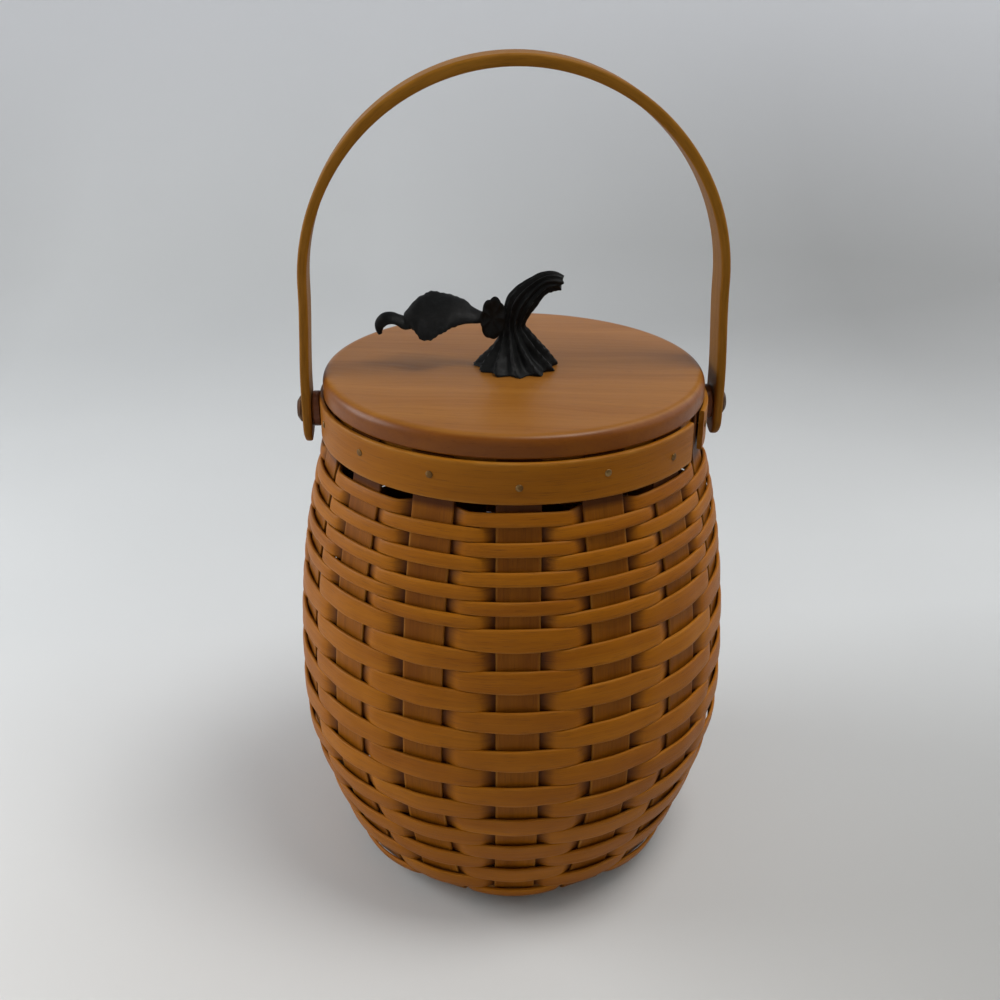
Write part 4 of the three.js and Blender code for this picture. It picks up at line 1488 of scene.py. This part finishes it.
def leaflet_piece(lobes=7, rings=9, sides=98):
    """A small lobed leaf, as a closed dish that stands across the joint."""
    made = bmesh.new()
    rows = {}
    for face in (-1, 1):
        for i in range(rings + 1):
            share = i / rings
            rim = math.sqrt(max(0.0, 1 - share ** 8))
            row = []
            for k in range(sides if i else 1):
                angle = 2 * math.pi * k / sides
                scallop = abs(math.sin(lobes / 2 * angle))
                reach = share * (1 + leaflet_scallop * (scallop - 1) - 0.05 * math.cos(2 * angle + 1))
                crease = leaflet_crease * share * (0.6 - scallop)
                offset = Vector((
                    leaflet_half_wide * reach * math.cos(angle),
                    face * rim * leaflet_half_thick - leaflet_dish * share * share - crease,
                    leaflet_half_tall * reach * math.sin(angle),
                ))
                row.append(made.verts.new(leaflet_middle + offset))
            rows[face, i] = row
    for face in (-1, 1):
        for i in range(rings):
            fill_strip(made, rows[face, i], rows[face, i + 1], sides)
    bmesh.ops.remove_doubles(made, verts=made.verts, dist=1e-4)
    bmesh.ops.recalc_face_normals(made, faces=made.faces)
    bmesh.ops.scale(made, vec=(MM, MM, MM), verts=made.verts)
    return piece_from(made, "leaflet")


blade = skin("blade", leaf_rings(), sharp_angle=60)
stalk_start = Matrix.Translation((stalk_out + peg_length, 0, stalk_height))
stalk_profile = eased([
    (0, 0, 0),
    (peg_radius, 0, 0.3),
    (peg_radius, stalk_length, 0.8),
    (0, stalk_length, 0),
])
stalk_laid = stalk_start @ Matrix.Rotation(-math.pi / 2, 4, "Y")
stalk = turned("stalk", stalk_profile, segments=32, laid=stalk_laid)
leaf = joined("veined_leaf", [blade, stalk, leaflet_piece()])
finished(leaf, "lid", "knob_leaf", knob_finish)
print("leaf", len(leaf.data.polygons), "faces")

# %% [markdown]
# ## The studio
#
# The basket stands on a pale sheet that curves up into a backdrop all round, so every view has the
# same plain ground. Painted shade darkens the sheet behind to the right and near to the right, as in
# the photograph, and beside the left lamp, which would else light it too far. Painted light makes it
# paler near to the left and high up the backdrop. Three soft lamps light the scene: one overhead,
# whose shadow of the handle falls across the lid, and one on each side of the basket, which round
# the belly and leave the front of the weave a little darker.

# %% Backdrop
backdrop_flat = 900
backdrop_bend = 600
backdrop_tall = 2600
under_foot = -0.4
bend_steps = 16
paper_tones = ((0.6, 0.615, 0.62, 1), (0.64, 0.655, 0.66, 1))
# Painted light and shade near the front: paler at the left, a dark painted shadow at the right.
near_painted_light_and_shade = ((0.84, 0.825, 0.8, 1), (0.27, 0.26, 0.24, 1))
# Painted shade on the sheet behind to the right.
far_right_painted_shade = (0.38, 0.385, 0.385, 1)
# Painted light, paler and bluer, high up the backdrop.
high_painted_light = (0.71, 0.725, 0.755, 1)
# Painted shade beside the left lamp, which would else light the sheet too far.
lamp_side_painted_shade = (0.36, 0.365, 0.37, 1)


def paper_finish():
    """Paper whose tone changes, in metres, along the axes of the floor and up the backdrop, with light and
    shade painted into it.
    """
    material, tree, principled = new_material("pale_paper", Roughness=0.85)
    spot = object_place(tree)
    way = add_node(tree, "ShaderNodeSeparateXYZ", {0: spot})
    mottle = range_node(tree, noise_node(tree, spot, scale=2.2, detail=2), 0.3, 0.7)
    behind = sum_node(tree, "MULTIPLY", range_node(tree, way["X"], -0.1, 0.5),
                      range_node(tree, way["Y"], 0.3, 0.9))
    near_side = mix_colour(tree, range_node(tree, way["X"], -0.3, 0.3), *near_painted_light_and_shade)
    beside_lamp = sum_node(tree, "MULTIPLY", range_node(tree, way["X"], -1.0, -0.5, 1.0, 0.0),
                           range_node(tree, way["Z"], 0.05, 0.3, 1.0, 0.0))
    paper = mix_colour(tree, mottle, *paper_tones)
    # Each mix paints light or shade into the sheet's colour.
    for share, tone in (
        (behind, far_right_painted_shade),
        (range_node(tree, way["Z"], 0.05, 0.4), high_painted_light),
        (range_node(tree, way["Y"], -0.3, 0.2, 0.85, 0.0), near_side),
        (beside_lamp, lamp_side_painted_shade),
    ):
        paper = mix_colour(tree, share, paper, tone)
    tree.links.new(paper, principled.inputs["Base Color"])
    return material


profile = [(0, under_foot)]
for i in range(bend_steps + 1):
    angle = math.pi / 2 * i / bend_steps
    profile.append((backdrop_flat + backdrop_bend * math.sin(angle),
                    under_foot + backdrop_bend * (1 - math.cos(angle))))
profile.append((backdrop_flat + backdrop_bend, backdrop_tall))
backdrop = turned("backdrop", profile, segments=96)
backdrop.data.materials.append(paper_finish())


# %% Lamps
def lamp(name, place_m, aim_m, size_m, power, colour):
    data = bpy.data.lights.new(name, "AREA")
    data.shape = "DISK"
    data.size = size_m
    data.energy = power
    data.color = colour
    made = add_object(name, data)
    made.location = place_m
    made.rotation_mode = "QUATERNION"
    made.rotation_quaternion = (Vector(place_m) - Vector(aim_m)).to_track_quat("Z", "Y")


lamp("overhead_lamp", (0.36, -0.15, 1.32), (0, 0, 0.2), 0.5, 6.9, (1.0, 0.99, 0.97))
lamp("left_lamp", (-1.15, 0.15, 0.62), (0, 0, 0.15), 0.8, 9.5, (0.98, 0.99, 1.0))
lamp("right_lamp", (1.12, 0.14, 0.88), (0, 0, 0.15), 1.9, 10.6, (1.0, 0.99, 0.98))

world = bpy.data.worlds.new("studio_air")
bpy.context.scene.world = world
world.use_nodes = True
air = world.node_tree.nodes["Background"].inputs
air["Color"].default_value = (0.9, 0.95, 1.0, 1)
air["Strength"].default_value = 0.22
bpy.context.scene.view_settings.view_transform = "Standard"
